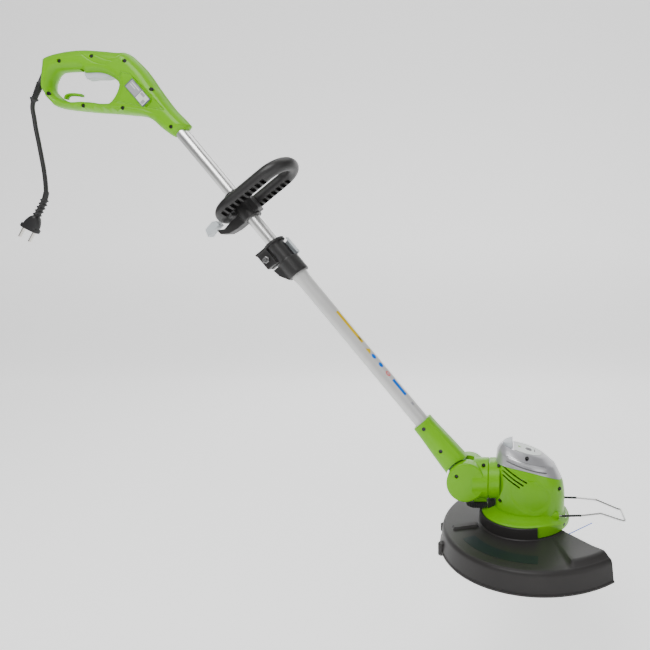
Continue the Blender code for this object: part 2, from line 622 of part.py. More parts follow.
def body_rings(shrink=0.0, foot=FOOT_Z - 0.010):
    """Leaning oval sections of the motor housing from its foot to the top plate."""
    rows = [(foot, BODY_X, BODY_AX, BODY_AY, 0.0),
            (FOOT_Z + 0.018, BODY_X, BODY_AX + 0.0008, BODY_AY, -0.04),
            (0.106, BODY_X, BODY_AX, BODY_AY - 0.001, -0.14),
            (0.128, BODY_X - 0.0015, BODY_AX - 0.0015, BODY_AY - 0.004, -0.26),
            (0.1515, 0.0015, 0.0505, 0.0400, -0.28),
            (0.1650, -0.0045, 0.0380, 0.0270, -0.29)]
    return [ellipse(center, ax - shrink, ay - shrink, z - shrink * (1.0 if index == 5 else 0.0), slope, 32)
            for index, (z, center, ax, ay, slope) in enumerate(rows)]


def silver_edge(x):
    """Height of the joint between the green housing and the silver cap."""
    along = x - BODY_X
    return 0.139 - 0.27 * along - 3.0 * along * along


def flange_top(x):
    return FLANGE_TOP - 3.5 * max(0.0, x - 0.015) ** 2


def cap_tool(offset, up):
    """Solid above (up = 1) or below the curved cap joint, wider than the housing."""
    rows = []
    for index in range(13):
        x = -0.075 + 0.155 * index / 12
        edge = silver_edge(min(max(x, -0.056), 0.070)) + offset
        far = 0.20 if up > 0 else 0.02
        ends = ((-0.08, edge), (0.08, edge), (0.08, far), (-0.08, far))
        rows.append([Vector((x, y, z)) for y, z in ends])
    return loft(new_mesh(), rows)


def half_space(side):
    low, high = sorted((side * GAP / 2, side * 0.12))
    return block(new_mesh(), (-0.12, 0.0, low), (0.12, 0.20, high), XZ)


def vent(bm, start, stop, width, depth=0.02):
    """Slanted slot through the near or far wall between two (x, z) ends."""
    (x0, z0), (x1, z1) = start, stop
    low = Vector((x1 - x0, z1 - z0)).normalized()
    nx, nz = -low.y * width / 2, low.x * width / 2
    outline = [(x0 - nx, z0 - nz), (x1 - nx, z1 - nz), (x1 + nx, z1 + nz), (x0 + nx, z0 + nz)]
    slab(bm, [outline], -0.060, -0.060 + depth + 0.012, XZ)
    slab(bm, [outline], 0.060 - depth - 0.012, 0.060, XZ)


def build_housing():
    full = loft(new_mesh(), body_rings())
    body = cutter("body_outer", full)
    flange_rings = []
    for radius, drop in ((FLANGE_R - 0.001, None), (FLANGE_R, 0.0), (0.0600, 0.0035)):
        row = []
        for index in range(36):
            a = 2 * pi * index / 36
            x, y = radius * cos(a), radius * sin(a)
            z = FLANGE_BOTTOM if drop is None else flange_top(x) + drop
            row.append(Vector((x, y, z)))
        flange_rings.append(row)
    flange = cutter("body_flange", loft(new_mesh(), flange_rings))
    inner = cutter("body_inner", loft(new_mesh(), body_rings(BODY_WALL, FLOOR_TOP)))
    skirt = cutter("flange_hollow", rod(new_mesh(), 0.0715, 0.02, FLOOR_TOP - 0.0045, WORLD, 40))
    hole = cutter("floor_hole", rod(new_mesh(), 0.0105, 0.04, 0.08, WORLD, 24))
    below_cap = cutter("above_joint", cap_tool(-GAP / 2, 1))
    vents, silver_vents, wires, recess = new_mesh(), new_mesh(), new_mesh(), new_mesh()
    for start, stop in GREEN_VENTS:
        vent(vents, start, stop, 0.0026)
    for start, stop in SILVER_VENTS:
        vent(silver_vents, start, stop, 0.0032)
    for y in (-GUIDE_Y, GUIDE_Y):
        rod(wires, GUIDE_R + GAP, -0.030, 0.080, along_x(0.0, GUIDE_Z, y), 14)
    for x, z in HOUSING_SCREWS:
        rod(recess, 0.0035, -0.062, -0.0325, along_y(x, z), 14)
    vents, wires = cutter("cut_vents", vents), cutter("cut_guide_wires", wires)
    recess = cutter("cut_housing_screws", recess)
    neck_hole = cutter("cut_neck_ring", rod(new_mesh(), 0.0200, -0.09, -0.0385, along_x(0, NECK_Z), 30))
    ring_join = cutter("add_neck_ring", rod(
        new_mesh(), NECK_R, SWIVEL_X, -0.044, along_x(0, NECK_Z), 44))
    for join in (flange, ring_join):
        apply_boolean(body, join, "UNION")
    for name, side in (("motor_housing_left", -1), ("motor_housing_right", 1)):
        shell = add(name, half_space(side), "green")
        apply_boolean(shell, body, "INTERSECT")
        for tool in (inner, skirt, hole, below_cap, vents, wires, neck_hole):
            apply_boolean(shell, tool)
        if side < 0:
            apply_boolean(shell, recess)
    cap = add("motor_top_cap", loft(new_mesh(), body_rings()), "silver")
    for tool in (inner, cutter("below_joint", cap_tool(GAP / 2, -1)),
                 cutter("cut_silver_vents", silver_vents), cutter("cut_button", button_block(0.0004, 0.146))):
        apply_boolean(cap, tool)


def button_block(grow=0.0, low=0.156, high=0.181):
    """Half-round thumb button at the back of the top plate."""
    edge = -0.0225
    radius = 0.0165 + grow
    outline = [(edge + grow, -radius), (edge + grow, radius)]
    for index in range(1, 10):
        angle = pi / 2 + pi * index / 10
        outline.append((edge + radius * cos(angle), radius * sin(angle)))
    return slab(new_mesh(), [outline], low, high)


def build_motor():
    frame_profile = [(0.0095, 0.090), (0.0285, 0.090), (0.0285, 0.137), (0.0095, 0.137), (0.0095, 0.1345),
                     (0.0260, 0.1345), (0.0260, 0.0925), (0.0095, 0.0925)]
    add("motor_stator", lathe(new_mesh(), frame_profile, WORLD, 24), "steel")
    for name, low in (("upper_bearing", 0.1318), ("lower_bearing", 0.0905)):
        add(name, ring(new_mesh(), 0.0034, 0.0092, low, low + 0.005, WORLD, 24), "steel")
    add("motor_shaft", rod(new_mesh(), 0.0030, 0.0452, 0.139, WORLD, 20), "steel")
    add("armature", ring(new_mesh(), 0.0033, 0.0235, 0.098, 0.122, WORLD, 24), "copper")
    add("commutator", ring(new_mesh(), 0.0033, 0.0110, 0.1225, 0.1305, WORLD, 24), "copper")
    fan = add("cooling_fan", ring(new_mesh(), 0.0033, 0.0260, 0.0790, 0.0812, WORLD, 20), "black")
    hub = ring(new_mesh(), 0.0034, 0.0080, 0.0785, 0.0885, WORLD, 24)
    apply_boolean(fan, cutter("add_fan_hub", hub), "UNION")
    for index in range(6):
        way = Matrix.Rotation(2 * pi * index / 6, 4, "Z")
        blade = block(new_mesh(), (0.0077, -0.0008, 0.0800), (0.0255, 0.0008, 0.0880), way)
        apply_boolean(fan, cutter(f"add_fan_blade_{index}", blade), "UNION")


def build_spool():
    housing = [(0.0033, 0.0440), (0.0405, 0.0440), (0.0405, 0.0170), (0.0430, 0.0170),
               (0.0440, 0.0200), (0.0440, 0.0440), (0.0400, 0.0500), (0.0033, 0.0500)]
    spool_housing = add("spool_housing", lathe(new_mesh(), housing, WORLD, 24), "black")
    eyelet = rod(new_mesh(), 0.0022, 0.03, 0.05, LINE_EXIT, 12)
    apply_boolean(spool_housing, cutter("cut_eyelet", eyelet))
    spool = [(0.0120, 0.0240), (0.0390, 0.0240), (0.0390, 0.0260), (0.0180, 0.0260), (0.0180, 0.0410),
             (0.0390, 0.0410), (0.0390, 0.0430), (0.0120, 0.0430)]
    add("line_spool", lathe(new_mesh(), spool, WORLD, 24), "pale_grey")
    add("wound_line", ring(new_mesh(), 0.0183, 0.0355, 0.0263, 0.0407, WORLD, 24), "line")
    cap = [(0, 0), (0.0170, 0), (0.0300, 0.0030), (0.0385, 0.0100), (0.0400, 0.0165), (0.0395, 0.0185),
           (0.0110, 0.0185), (0.0105, 0.0300), (0, 0.0300)]
    add("bump_cap", lathe(new_mesh(), cap, WORLD, 24), "black")
    coil = [Vector((0.0075 * cos(2 * pi * k / 8), 0.0075 * sin(2 * pi * k / 8), 0.0362 + 0.0060 * k / 32))
            for k in range(33)]
    add("bump_spring", sweep(new_mesh(), coil, 0.0005, 5, normal=(0, 0, 1)), "steel")
    path = smooth_path(LINE_ROUTE, 3)
    add("trimmer_line", sweep(new_mesh(), path, LINE_R, 6, normal=(0, 0, 1)), "line")


def guard_section(part):
    """Closed section of the guard at a part (0 to 1) of its sweep."""
    theta = GUARD_START - GUARD_SWEEP * part
    way = Vector((cos(theta), sin(theta), 0))
    center = Vector((GUARD_X, 0, 0))
    reach = -GUARD_X * way.x + sqrt((FLANGE_R + 0.004) ** 2 - (GUARD_X * way.y) ** 2)
    inner = -GUARD_X * way.x + sqrt((FLANGE_R + 0.0005) ** 2 - (GUARD_X * way.y) ** 2)
    collar = FLANGE_TOP - 0.0008 if theta < COLLAR_END else FLANGE_BOTTOM - 0.0002
    low = FLANGE_BOTTOM - 0.0003
    wedge = 1.0 if part < WEDGE_PART else 0.0
    shoulder = GUARD_CREASE_R - 0.004
    points = [(reach, collar), (reach, low), (GUARD_MIDDLE_R, low + 0.0030 * wedge),
              (GUARD_RIDGE_R, low + 0.0060 * wedge), (shoulder, GUARD_CREASE_Z + 0.0025),
              (GUARD_CREASE_R, GUARD_CREASE_Z), (GUARD_RIM_R, GUARD_RIM_Z + 0.002),
              (GUARD_RIM_R + 0.0012, GUARD_RIM_Z), (GUARD_RIM_R - GUARD_WALL, GUARD_RIM_Z),
              (GUARD_CREASE_R - GUARD_WALL, GUARD_CREASE_Z - 0.0005), (GUARD_MIDDLE_R, low - GUARD_WALL),
              (inner - 0.004, low - GUARD_WALL), (inner - 0.004, low), (inner, low + 0.0001), (inner, collar)]
    return [center + way * radius + Vector((0, 0, z)) for radius, z in points]


def build_guard():
    steps = [index / 40 for index in range(41)]
    for part in (WEDGE_PART, (GUARD_START - COLLAR_END) / GUARD_SWEEP):
        steps = [step for step in steps if abs(step - part) > 0.004] + [part - 1e-4, part + 1e-4]
    rings = [guard_section(part) for part in sorted(steps)]
    add("guard", loft(new_mesh(), rings), "charcoal")
    way = Matrix.Rotation(GUARD_START - radians(2.5), 4, "Z")
    place = Matrix.Translation((GUARD_X, 0, 0)) @ way
    blade = block(new_mesh(), (0.118, -0.0008, 0.0195), (0.150, 0.0008, 0.0330), place)
    add("line_cutter_blade", blade, "steel")


def build_guide():
    route = mm([(12, -35.5, 64.3), (40, -35.5, 64.3), (60, -35.5, 64.3), (88, -34.2, 64.3),
                (94, -33.5, 64.1), (122, -27, 64), (128, -25.8, 63.2), (161, -21.8, 50.8),
                (167, -20.6, 49.8), (168.3, -18.0, 49.7)])
    path = smooth_path(route, 2) + [Vector((x, -y, z)) for x, y, z in reversed(smooth_path(route, 2))]
    add("edge_guide_wire", sweep(new_mesh(), path, GUIDE_R, 6, normal=(0, 0, 1)), "steel")


def build_top_details():
    add("swivel_release_button", button_block(), "pale_grey", (-0.035, 0.0, 0.165))
    slope = -0.29
    plate = []
    for index in range(17):
        a = pi / 2 - pi * index / 16
        plate.append((-0.0045 + 0.0330 * max(cos(a), 0) ** 0.8, 0.0235 * sin(a)))
    points = [(-0.0185, 0.0222)] + plate + [(-0.0185, -0.0222)]
    rings = [[Vector((x, y, base + slope * (x + 0.0045))) for x, y in points] for base in (0.1654, 0.1660)]
    add("top_label", loft(new_mesh(), rings), "label")


def main():
    clear_scene()
    build_handle()
    build_cord()
    build_tubes()
    build_aux_handle()
    build_telescope_collar()
    build_socket()
    build_neck()
    build_housing()
    build_motor()
    build_spool()
    build_guard()
    build_guide()
    build_top_details()


main()
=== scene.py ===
"""Looks of the corded string trimmer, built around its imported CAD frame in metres."""
import json
from math import atan2, cos, pi, radians, sin, sqrt

import bmesh
import bpy
import numpy as np
from mathutils import Matrix, Vector
from mathutils.geometry import delaunay_2d_cdt


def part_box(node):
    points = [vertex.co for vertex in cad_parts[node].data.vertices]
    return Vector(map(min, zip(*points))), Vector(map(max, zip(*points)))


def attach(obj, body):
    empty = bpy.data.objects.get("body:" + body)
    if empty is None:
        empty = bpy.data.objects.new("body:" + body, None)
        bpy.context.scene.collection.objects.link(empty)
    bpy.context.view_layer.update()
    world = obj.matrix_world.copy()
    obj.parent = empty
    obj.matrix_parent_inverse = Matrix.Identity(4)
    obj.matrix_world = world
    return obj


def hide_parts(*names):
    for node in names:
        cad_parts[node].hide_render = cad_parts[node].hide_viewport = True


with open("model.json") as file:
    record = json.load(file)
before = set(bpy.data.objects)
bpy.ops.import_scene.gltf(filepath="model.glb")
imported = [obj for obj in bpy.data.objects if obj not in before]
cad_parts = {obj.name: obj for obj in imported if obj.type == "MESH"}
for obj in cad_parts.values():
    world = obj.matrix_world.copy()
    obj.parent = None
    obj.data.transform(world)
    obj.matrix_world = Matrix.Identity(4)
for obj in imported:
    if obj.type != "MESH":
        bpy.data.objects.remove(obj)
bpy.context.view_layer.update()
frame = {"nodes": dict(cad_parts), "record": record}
NODES = frame["nodes"]

MM = 0.001
WHITE = (1.0, 1.0, 1.0, 1.0)

# Driving places, the same as the CAD's.
PIVOT = Vector((-0.101, 0.0, 0.117))
SHAFT_ANGLE = radians(50.3)
UP = Vector((-cos(SHAFT_ANGLE), 0.0, sin(SHAFT_ANGLE)))
SIDE = Vector((sin(SHAFT_ANGLE), 0.0, cos(SHAFT_ANGLE)))
ACROSS = Vector((0.0, 1.0, 0.0))
Z_AXIS = Vector((0.0, 0.0, 1.0))


def columns(origin, x_axis, y_axis, z_axis):
    """Matrix with the given axes, placed at origin."""
    matrix = Matrix.Identity(4)
    for index, axis in enumerate((x_axis, y_axis, z_axis)):
        matrix.col[index] = (*Vector(axis), 0.0)
    matrix.translation = Vector(origin)
    return matrix


def add_object(name, data):
    made = bpy.data.objects.new(name, data)
    bpy.context.scene.collection.objects.link(made)
    return made


WORLD = Matrix.Identity(4)
SHAFT = columns(PIVOT, SIDE, ACROSS, UP)


def on_shaft(t, u=0.0, y=0.0):
    return PIVOT + UP * t + SIDE * u + ACROSS * y


def along_y(x, z):
    """Frame whose Z axis is world Y."""
    return columns((x, 0, z), (0, 0, 1), (1, 0, 0), (0, 1, 0))


def along_x(y, z):
    """Frame whose Z axis is world X."""
    return columns((0, y, z), (0, 1, 0), (0, 0, 1), (1, 0, 0))


def blend_step(value, start, stop):
    """0 before start, 1 after stop, smooth between."""
    share = min(1.0, max(0.0, (value - start) / (stop - start)))
    return share * share * (3 - 2 * share)


# Camera, lights and floor

FLOOR_DROP = 0.22
FLOOR_WIDE, FLOOR_FRONT, FLOOR_BACK, FLOOR_RISE, FLOOR_BEND = 5.0, -4.0, 3.0, 3.0, 0.8


def place_camera():
    data = bpy.data.cameras.new("camera")
    # The height sets this picture; the narrow width makes other views stand farther back
    data.sensor_fit = "VERTICAL"
    data.sensor_height, data.sensor_width = 36.0, 18.0
    data.lens = 30.1
    data.shift_x = -0.294
    data.shift_y = -0.1015
    camera = add_object("camera", data)
    camera.location = (-0.0162, -0.940, 0.492)
    camera.rotation_euler = (pi / 2, 0.0, 0.0)
    bpy.context.scene.camera = camera


def area_light(name, place, target, size, power):
    data = bpy.data.lights.new(name, "AREA")
    data.shape = "RECTANGLE"
    data.size, data.size_y = size
    data.energy = power
    light = add_object(name, data)
    light.location = place
    light.rotation_euler = (Vector(target) - Vector(place)).to_track_quat("-Z", "Y").to_euler()


def studio():
    """Soft light from above and both sides; the pale floor lies low enough for the shaft at its longest."""
    middle = (-0.35, 0.0, 0.4)
    area_light("key_light", (-0.9, -1.6, 2.0), middle, (1.6, 1.2), 46)
    area_light("fill_light", (1.5, -1.3, 1.0), middle, (1.2, 1.6), 9)
    area_light("top_light", (-0.3, 0.5, 2.4), middle, (2.2, 1.4), 22)
    area_light("back_light", (-0.4, 2.2, 1.2), middle, (2.4, 1.2), 12)
    world = bpy.data.worlds.new("studio")
    world.use_nodes = True
    set_inputs(world.node_tree.nodes["Background"], Color=WHITE, Strength=0.22)
    bpy.context.scene.world = world
    bm = bmesh.new()
    low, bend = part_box("bump_cap")[0].z - FLOOR_DROP, FLOOR_BEND
    profile = [(FLOOR_FRONT, low), (FLOOR_BACK - bend, low)]
    for index in range(1, 9):
        angle = pi / 2 * index / 8
        profile.append((FLOOR_BACK - bend + bend * sin(angle), low + bend - bend * cos(angle)))
    profile.append((FLOOR_BACK, FLOOR_RISE))
    rows = [[bm.verts.new((x, y, z)) for y, z in profile] for x in (-FLOOR_WIDE, FLOOR_WIDE)]
    for index in range(len(profile) - 1):
        bm.faces.new((rows[0][index], rows[1][index], rows[1][index + 1], rows[0][index + 1]))
    floor = finish_mesh("studio_floor", bm, None, 60)
    paper = plastic("floor_paper", (0.95, 0.95, 0.95), 0.9, 0.0, 0.0)
    set_inputs(paper.node_tree.nodes["Principled BSDF"], Emission_Color=WHITE, Emission_Strength=0.75)
    floor.data.materials.append(paper)


# Materials

def set_inputs(node, **inputs):
    """Sets a node's inputs; an underscore stands for a space."""
    for name, value in inputs.items():
        node.inputs[name.replace("_", " ")].default_value = value


def add_node(tree, kind, **inputs):
    node = tree.nodes.new("ShaderNode" + kind)
    set_inputs(node, **inputs)
    return node


def node_link(tree, a, out, b, into):
    tree.links.new(a.outputs[out], b.inputs[into])


def add_bump(tree, pattern, strength, distance):
    relief = add_node(tree, "Bump", Strength=strength, Distance=distance)
    node_link(tree, pattern, "Fac", relief, "Height")
    node_link(tree, relief, "Normal", tree.nodes["Principled BSDF"], "Normal")


def plastic(name, color, rough, bump=0.06, spread=0.06, grain=900.0, metallic=0.0, coat=0.0, shine=0.5):
    """Moulded surface: faint colour drift, fine grain in the bump and uneven gloss."""
    made = bpy.data.materials.new(name)
    made.use_nodes = True
    tree = made.node_tree
    shader = tree.nodes["Principled BSDF"]
    set_inputs(shader, Metallic=metallic, Coat_Weight=coat, Specular_IOR_Level=shine, Coat_Roughness=0.12)
    where = add_node(tree, "TexCoord")
    drift = add_node(tree, "TexNoise", Scale=14.0, Detail=3.0)
    node_link(tree, where, "Object", drift, "Vector")
    ramp = add_node(tree, "ValToRGB")
    for stop, place, change in zip(ramp.color_ramp.elements, (0.35, 0.65), (1 - spread, 1 + spread)):
        stop.position = place
        stop.color = (*[min(1.0, part * change) for part in color], 1.0)
    node_link(tree, drift, "Fac", ramp, "Fac")
    node_link(tree, ramp, "Color", shader, "Base Color")
    gloss = add_node(tree, "MapRange", To_Min=max(0.02, rough - 0.05), To_Max=min(1.0, rough + 0.05))
    node_link(tree, drift, "Fac", gloss, "Value")
    node_link(tree, gloss, "Result", shader, "Roughness")
    if bump > 0:
        fine = add_node(tree, "TexNoise", Scale=grain, Detail=4.0)
        node_link(tree, where, "Object", fine, "Vector")
        add_bump(tree, fine, bump, 0.0002)
    return made


def brushed(name, color, rough, axis, metallic=1.0):
    """Metal with fine lines along the given axis."""
    made = plastic(name, color, rough, 0.0, 0.04, metallic=metallic)
    tree = made.node_tree
    turn = add_node(tree, "Mapping", Rotation=(0.0, axis, 0.0), Scale=(1200.0, 1200.0, 9.0))
    node_link(tree, tree.nodes["Texture Coordinate"], "Object", turn, "Vector")
    lines = add_node(tree, "TexNoise", Scale=1.0)
    node_link(tree, turn, "Vector", lines, "Vector")
    add_bump(tree, lines, 0.12, 0.0001)
    return made


def finishes():
    tilt = -(pi / 2 - SHAFT_ANGLE)
    return {
        "green_plastic": plastic("green_abs", (0.150, 0.44, 0.0), 0.30, 0.05, 0.05, shine=0.25),
        "black_plastic": plastic("black_grained_plastic", (0.013, 0.0125, 0.0125), 0.42, 0.25, 0.12, 1400.0),
        "charcoal_plastic": plastic("charcoal_guard_plastic", (0.024, 0.0225, 0.022), 0.44, 0.18, 0.1,
                                    1100.0, shine=0.28),
        "pale_grey_plastic": plastic("pale_grey_plastic", (0.52, 0.56, 0.58), 0.38, 0.08, 0.03),
        "silver_plastic": plastic("silver_lacquer", (0.52, 0.52, 0.54), 0.3, 0.06, 0.05, 2200.0, 0.65, 0.2),
        "tube_aluminium": brushed("anodised_tube", (0.78, 0.78, 0.77), 0.3, tilt),
        "tube_pale": brushed("pale_lacquered_tube", (0.60, 0.60, 0.59), 0.36, tilt, 0.3),
        "steel": brushed("bright_steel", (0.42, 0.42, 0.42), 0.25, 0.0),
        "copper_winding": brushed("lacquered_copper", (0.7, 0.3, 0.12), 0.35, 0.0),
        "black_rubber": plastic("black_rubber", (0.010, 0.010, 0.0105), 0.5, 0.2, 0.12, 1600.0),
        "label_film": plastic("label_film", (0.66, 0.70, 0.66), 0.35, 0.03, 0.03),
        "blue_nylon_line": plastic("blue_nylon_line", (0.03, 0.16, 0.75), 0.3, 0.04, 0.05, shine=0.2),
        "pin_brass": brushed("plug_pin_metal", (0.62, 0.60, 0.56), 0.25, 0.0),
        "screw_dark": brushed("blackened_screw_steel", (0.05, 0.05, 0.05), 0.35, 0.0),
        "label_grey": plastic("label_grey_print", (0.33, 0.33, 0.36), 0.4, 0.02, 0.05),
        "label_frame": plastic("label_frame_print", (0.10, 0.10, 0.14), 0.4, 0.02, 0.05),
        # Painted groove light for the silver vents: vent_shade is a dark strip of painted shade and
        # vent_floor a mid-grey strip of painted groove shading; the cap itself has no cut grooves
        "vent_shade": plastic("vent_groove_shade", (0.10, 0.10, 0.105), 0.45, 0.04, 0.08),
        "vent_floor": plastic("vent_groove_floor_painted_shading", (0.42, 0.42, 0.43), 0.40, 0.04, 0.05),
        "mark_yellow": plastic("decal_yellow", (0.66, 0.46, 0.0), 0.35, 0.02, 0.05, shine=0.1),
        "mark_blue": plastic("decal_blue", (0.0, 0.14, 0.65), 0.35, 0.02, 0.05, shine=0.1),
        "mark_red": plastic("decal_red", (0.75, 0.02, 0.02), 0.35, 0.02, 0.05, shine=0.1),
        "dark_mark": plastic("printed_dark_mark", (0.03, 0.035, 0.035), 0.4, 0.02, 0.08),
        "strip_film": plastic("guard_strip_film", (0.014, 0.020, 0.024), 0.36, 0.03, 0.1, shine=0.2),
    }


def dress_nodes():
    slots = {row["node"]: row["material_slot"] for row in frame["record"]["subparts"]}
    for name, node in NODES.items():
        node.data.materials.clear()
        dark = "_screw_" in name or name == "pivot_bolt"
        node.data.materials.append(FINISH["screw_dark" if dark else slots[name]])


# Mesh helpers

def finish_mesh(name, bm, finish=None, smooth=30):
    bmesh.ops.recalc_face_normals(bm, faces=bm.faces)
    mesh = bpy.data.meshes.new(name)
    bm.to_mesh(mesh)
    bm.free()
    mesh.shade_smooth()
    mesh.set_sharp_from_angle(angle=radians(smooth))
    made = add_object(name, mesh)
    if finish:
        made.data.materials.append(FINISH[finish])
    return made


def keep(made, body, slot, *nodes):
    """Piece rides on a body and stands for the CAD nodes given, which it hides; slot is not used."""
    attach(made, body)
    if nodes:
        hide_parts(*nodes)
    return made


def ring_points(radius, z, matrix, count):
    turns = [2 * pi * k / count for k in range(count)]
    return [matrix @ Vector((radius * cos(turn), radius * sin(turn), z)) for turn in turns]


def loft(bm, rings, closed=False):
    rows = [[bm.verts.new(point) for point in ring] for ring in rings]
    size = len(rows[0])
    spans = len(rows) if closed else len(rows) - 1
    for index in range(spans):
        a, b = rows[index], rows[(index + 1) % len(rows)]
        for k in range(size):
            bm.faces.new((a[k], a[(k + 1) % size], b[(k + 1) % size], b[k]))
    if not closed:
        bm.faces.new(list(reversed(rows[0])))
        bm.faces.new(rows[-1])
    return bm


def lofted(name, rings, finish=None, smooth=30):
    return finish_mesh(name, loft(bmesh.new(), rings), finish, smooth)


def lathe(bm, profile, matrix=WORLD, count=48):
    """Closed turned body from (radius, height) points; zero radii become poles."""
    rows = []
    for radius, z in profile:
        if radius <= 1e-9:
            rows.append([bm.verts.new(matrix @ Vector((0, 0, z)))])
        else:
            rows.append([bm.verts.new(point) for point in ring_points(radius, z, matrix, count)])
    pairs = list(zip(rows, rows[1:]))
    if len(rows[0]) > 1:
        pairs.append((rows[-1], rows[0]))
    for a, b in pairs:
        for k in range(count):
            face = [a[k % len(a)], a[(k + 1) % count % len(a)] if len(a) > 1 else None,
                    b[(k + 1) % count % len(b)] if len(b) > 1 else None, b[k % len(b)]]
            corners = [v for v in face if v is not None]
            if len(set(corners)) >= 3:
                bm.faces.new(corners)
    return bm


def smooth_path(points, per_span=6, closed=False):
    """Catmull-Rom curve through the points."""
    route = [Vector(point) for point in points]
    count = len(route)
    made = []
    for index in range(count if closed else count - 1):
        if closed:
            p0, p1, p2, p3 = (route[(index + k - 1) % count] for k in range(4))
        else:
            p0, p1 = route[max(index - 1, 0)], route[index]
            p2, p3 = route[index + 1], route[min(index + 2, count - 1)]
        for step in range(per_span):
            t = step / per_span
            made.append(0.5 * ((2 * p1) + (p2 - p0) * t + (2 * p0 - 5 * p1 + 4 * p2 - p3) * t * t
                               + (3 * p1 - p0 - 3 * p2 + p3) * t * t * t))
    if not closed:
        made.append(route[-1])
    return made


def remeshed(node, name, body, slot, voxel, passes=4):
    """Rounded, evenly meshed copy of a CAD node that takes its place."""
    made = add_object(name, NODES[node].data.copy())
    made.data.materials.clear()
    made.data.materials.append(FINISH[slot])
    modifier = made.modifiers.new("remesh", "REMESH")
    modifier.mode = "VOXEL"
    modifier.voxel_size = voxel
    modifier.use_smooth_shade = True
    soften = made.modifiers.new("soften", "SMOOTH")
    soften.iterations = passes
    bake(made)
    return keep(made, body, slot, node)


def bake(made):
    """Applies the object's modifiers to its mesh."""
    bpy.context.view_layer.update()
    graph = bpy.context.evaluated_depsgraph_get()
    mesh = bpy.data.meshes.new_from_object(made.evaluated_get(graph), depsgraph=graph)
    made.modifiers.clear()
    made.data = mesh
    return made


# Cord: strain relief to plug, at its real length

CORD_EXIT = Vector((-0.8385, 0.0, 0.7960))
CORD_DOWN = Vector((-0.38, 0.0, -0.925)).normalized()
CORD_START = CORD_EXIT + CORD_DOWN * 0.0338
CABLE_R = 0.0032
CORD_ROUTE = [CORD_START] + [Vector((x, 0.0, z)) * MM for x, z in [
    (-852.5, 756), (-852, 748), (-850, 738), (-848.5, 728), (-846.5, 716), (-844, 704), (-841.5, 692),
    (-839, 679), (-836.5, 666), (-834, 653), (-832, 640), (-830.5, 628), (-829.5, 616), (-829.2, 606)]]


def make_cord():
    curve = bpy.data.curves.new("supply_cord", "CURVE")
    curve.dimensions = "3D"
    curve.bevel_depth = CABLE_R
    curve.bevel_resolution = 5
    curve.use_fill_caps = True
    path = smooth_path(CORD_ROUTE, 4)
    spline = curve.splines.new("POLY")
    spline.points.add(len(path) - 1)
    for point, place in zip(spline.points, path):
        point.co = (*place, 1.0)
    made = add_object("supply_cord", curve)
    curve.materials.append(FINISH["black_rubber"])
    keep(made, "grip", "black_rubber", "power_cord")
    make_plug()


# Rear handle

HANDLE_OUTLINE = [
    (-826, 838), (-800, 847), (-764, 851.6), (-729, 850), (-703, 847.5), (-687, 847), (-672, 836),
    (-651, 814), (-630, 784), (-606, 752), (-583, 728), (-580, 719), (-600, 702), (-622, 714),
    (-648, 735), (-686, 741), (-751, 746), (-800, 752), (-812, 760), (-827, 777), (-832, 787),
    (-832, 800), (-830, 824)]
HANDLE_OPENING = [
    (-811, 803), (-805, 812), (-793, 815), (-764, 816), (-758, 814), (-755, 809.5), (-729, 809.5),
    (-712, 804), (-698, 790), (-715, 760.5), (-753, 763), (-781, 762), (-797, 768), (-812, 781), (-814, 792)]
HANDLE_SCREWS = [(-793, 829), (-738, 837), (-682, 829), (-637, 781), (-812, 774),
                 (-752, 753), (-685, 749), (-603, 717)]
PANEL = [(-700, 786), (-714, 764), (-690, 757), (-612, 744), (-640, 776), (-672, 808), (-688, 812)]
LABEL = [(-668, 799), (-638, 764), (-650, 750), (-681, 786)]
RIB = [(-815, 768), (-800, 758), (-752, 752.5), (-688, 748), (-655, 744), (-618, 734)]
GROOVES = [[(-762, 846), (-748, 835), (-734, 827), (-717, 823), (-703, 829), (-690, 838)],
           [(-742, 847), (-730, 838), (-716, 832), (-703, 829)]]
HANDLE_HALF, EDGE_ROUND, SEAT_HIGH = 17.0, 15.0, 12.4
GRID = 1.25
SEAM = 0.15


def segment_distance(points, line, closed):
    """Shortest distance from each point to a polyline."""
    ends = np.roll(line, -1, axis=0) if closed else line[1:]
    starts = line if closed else line[:-1]
    best = np.full(len(points), 1e9)
    for a, b in zip(starts, ends):
        along = b - a
        t = np.clip(((points - a) @ along) / max(along @ along, 1e-12), 0, 1)
        best = np.minimum(best, np.hypot(*(points - a - t[:, None] * along).T))
    return best


def inside(points, line):
    """True for points inside a closed polyline."""
    found = np.zeros(len(points), bool)
    x, z = points.T
    for (x0, z0), (x1, z1) in zip(line, np.roll(line, -1, axis=0)):
        crossed = (z0 > z) != (z1 > z)
        at = x0 + (z - z0) * (x1 - x0) / (z1 - z0 if z1 != z0 else 1e-12)
        found ^= crossed & (x < at)
    return found


def rounded(points, per_span=5):
    return np.array([(p.x, p.y) for p in smooth_path([(x, z, 0) for x, z in points], per_span, True)])


def smoothstep(value):
    value = np.clip(value, 0, 1)
    return value * value * (3 - 2 * value)


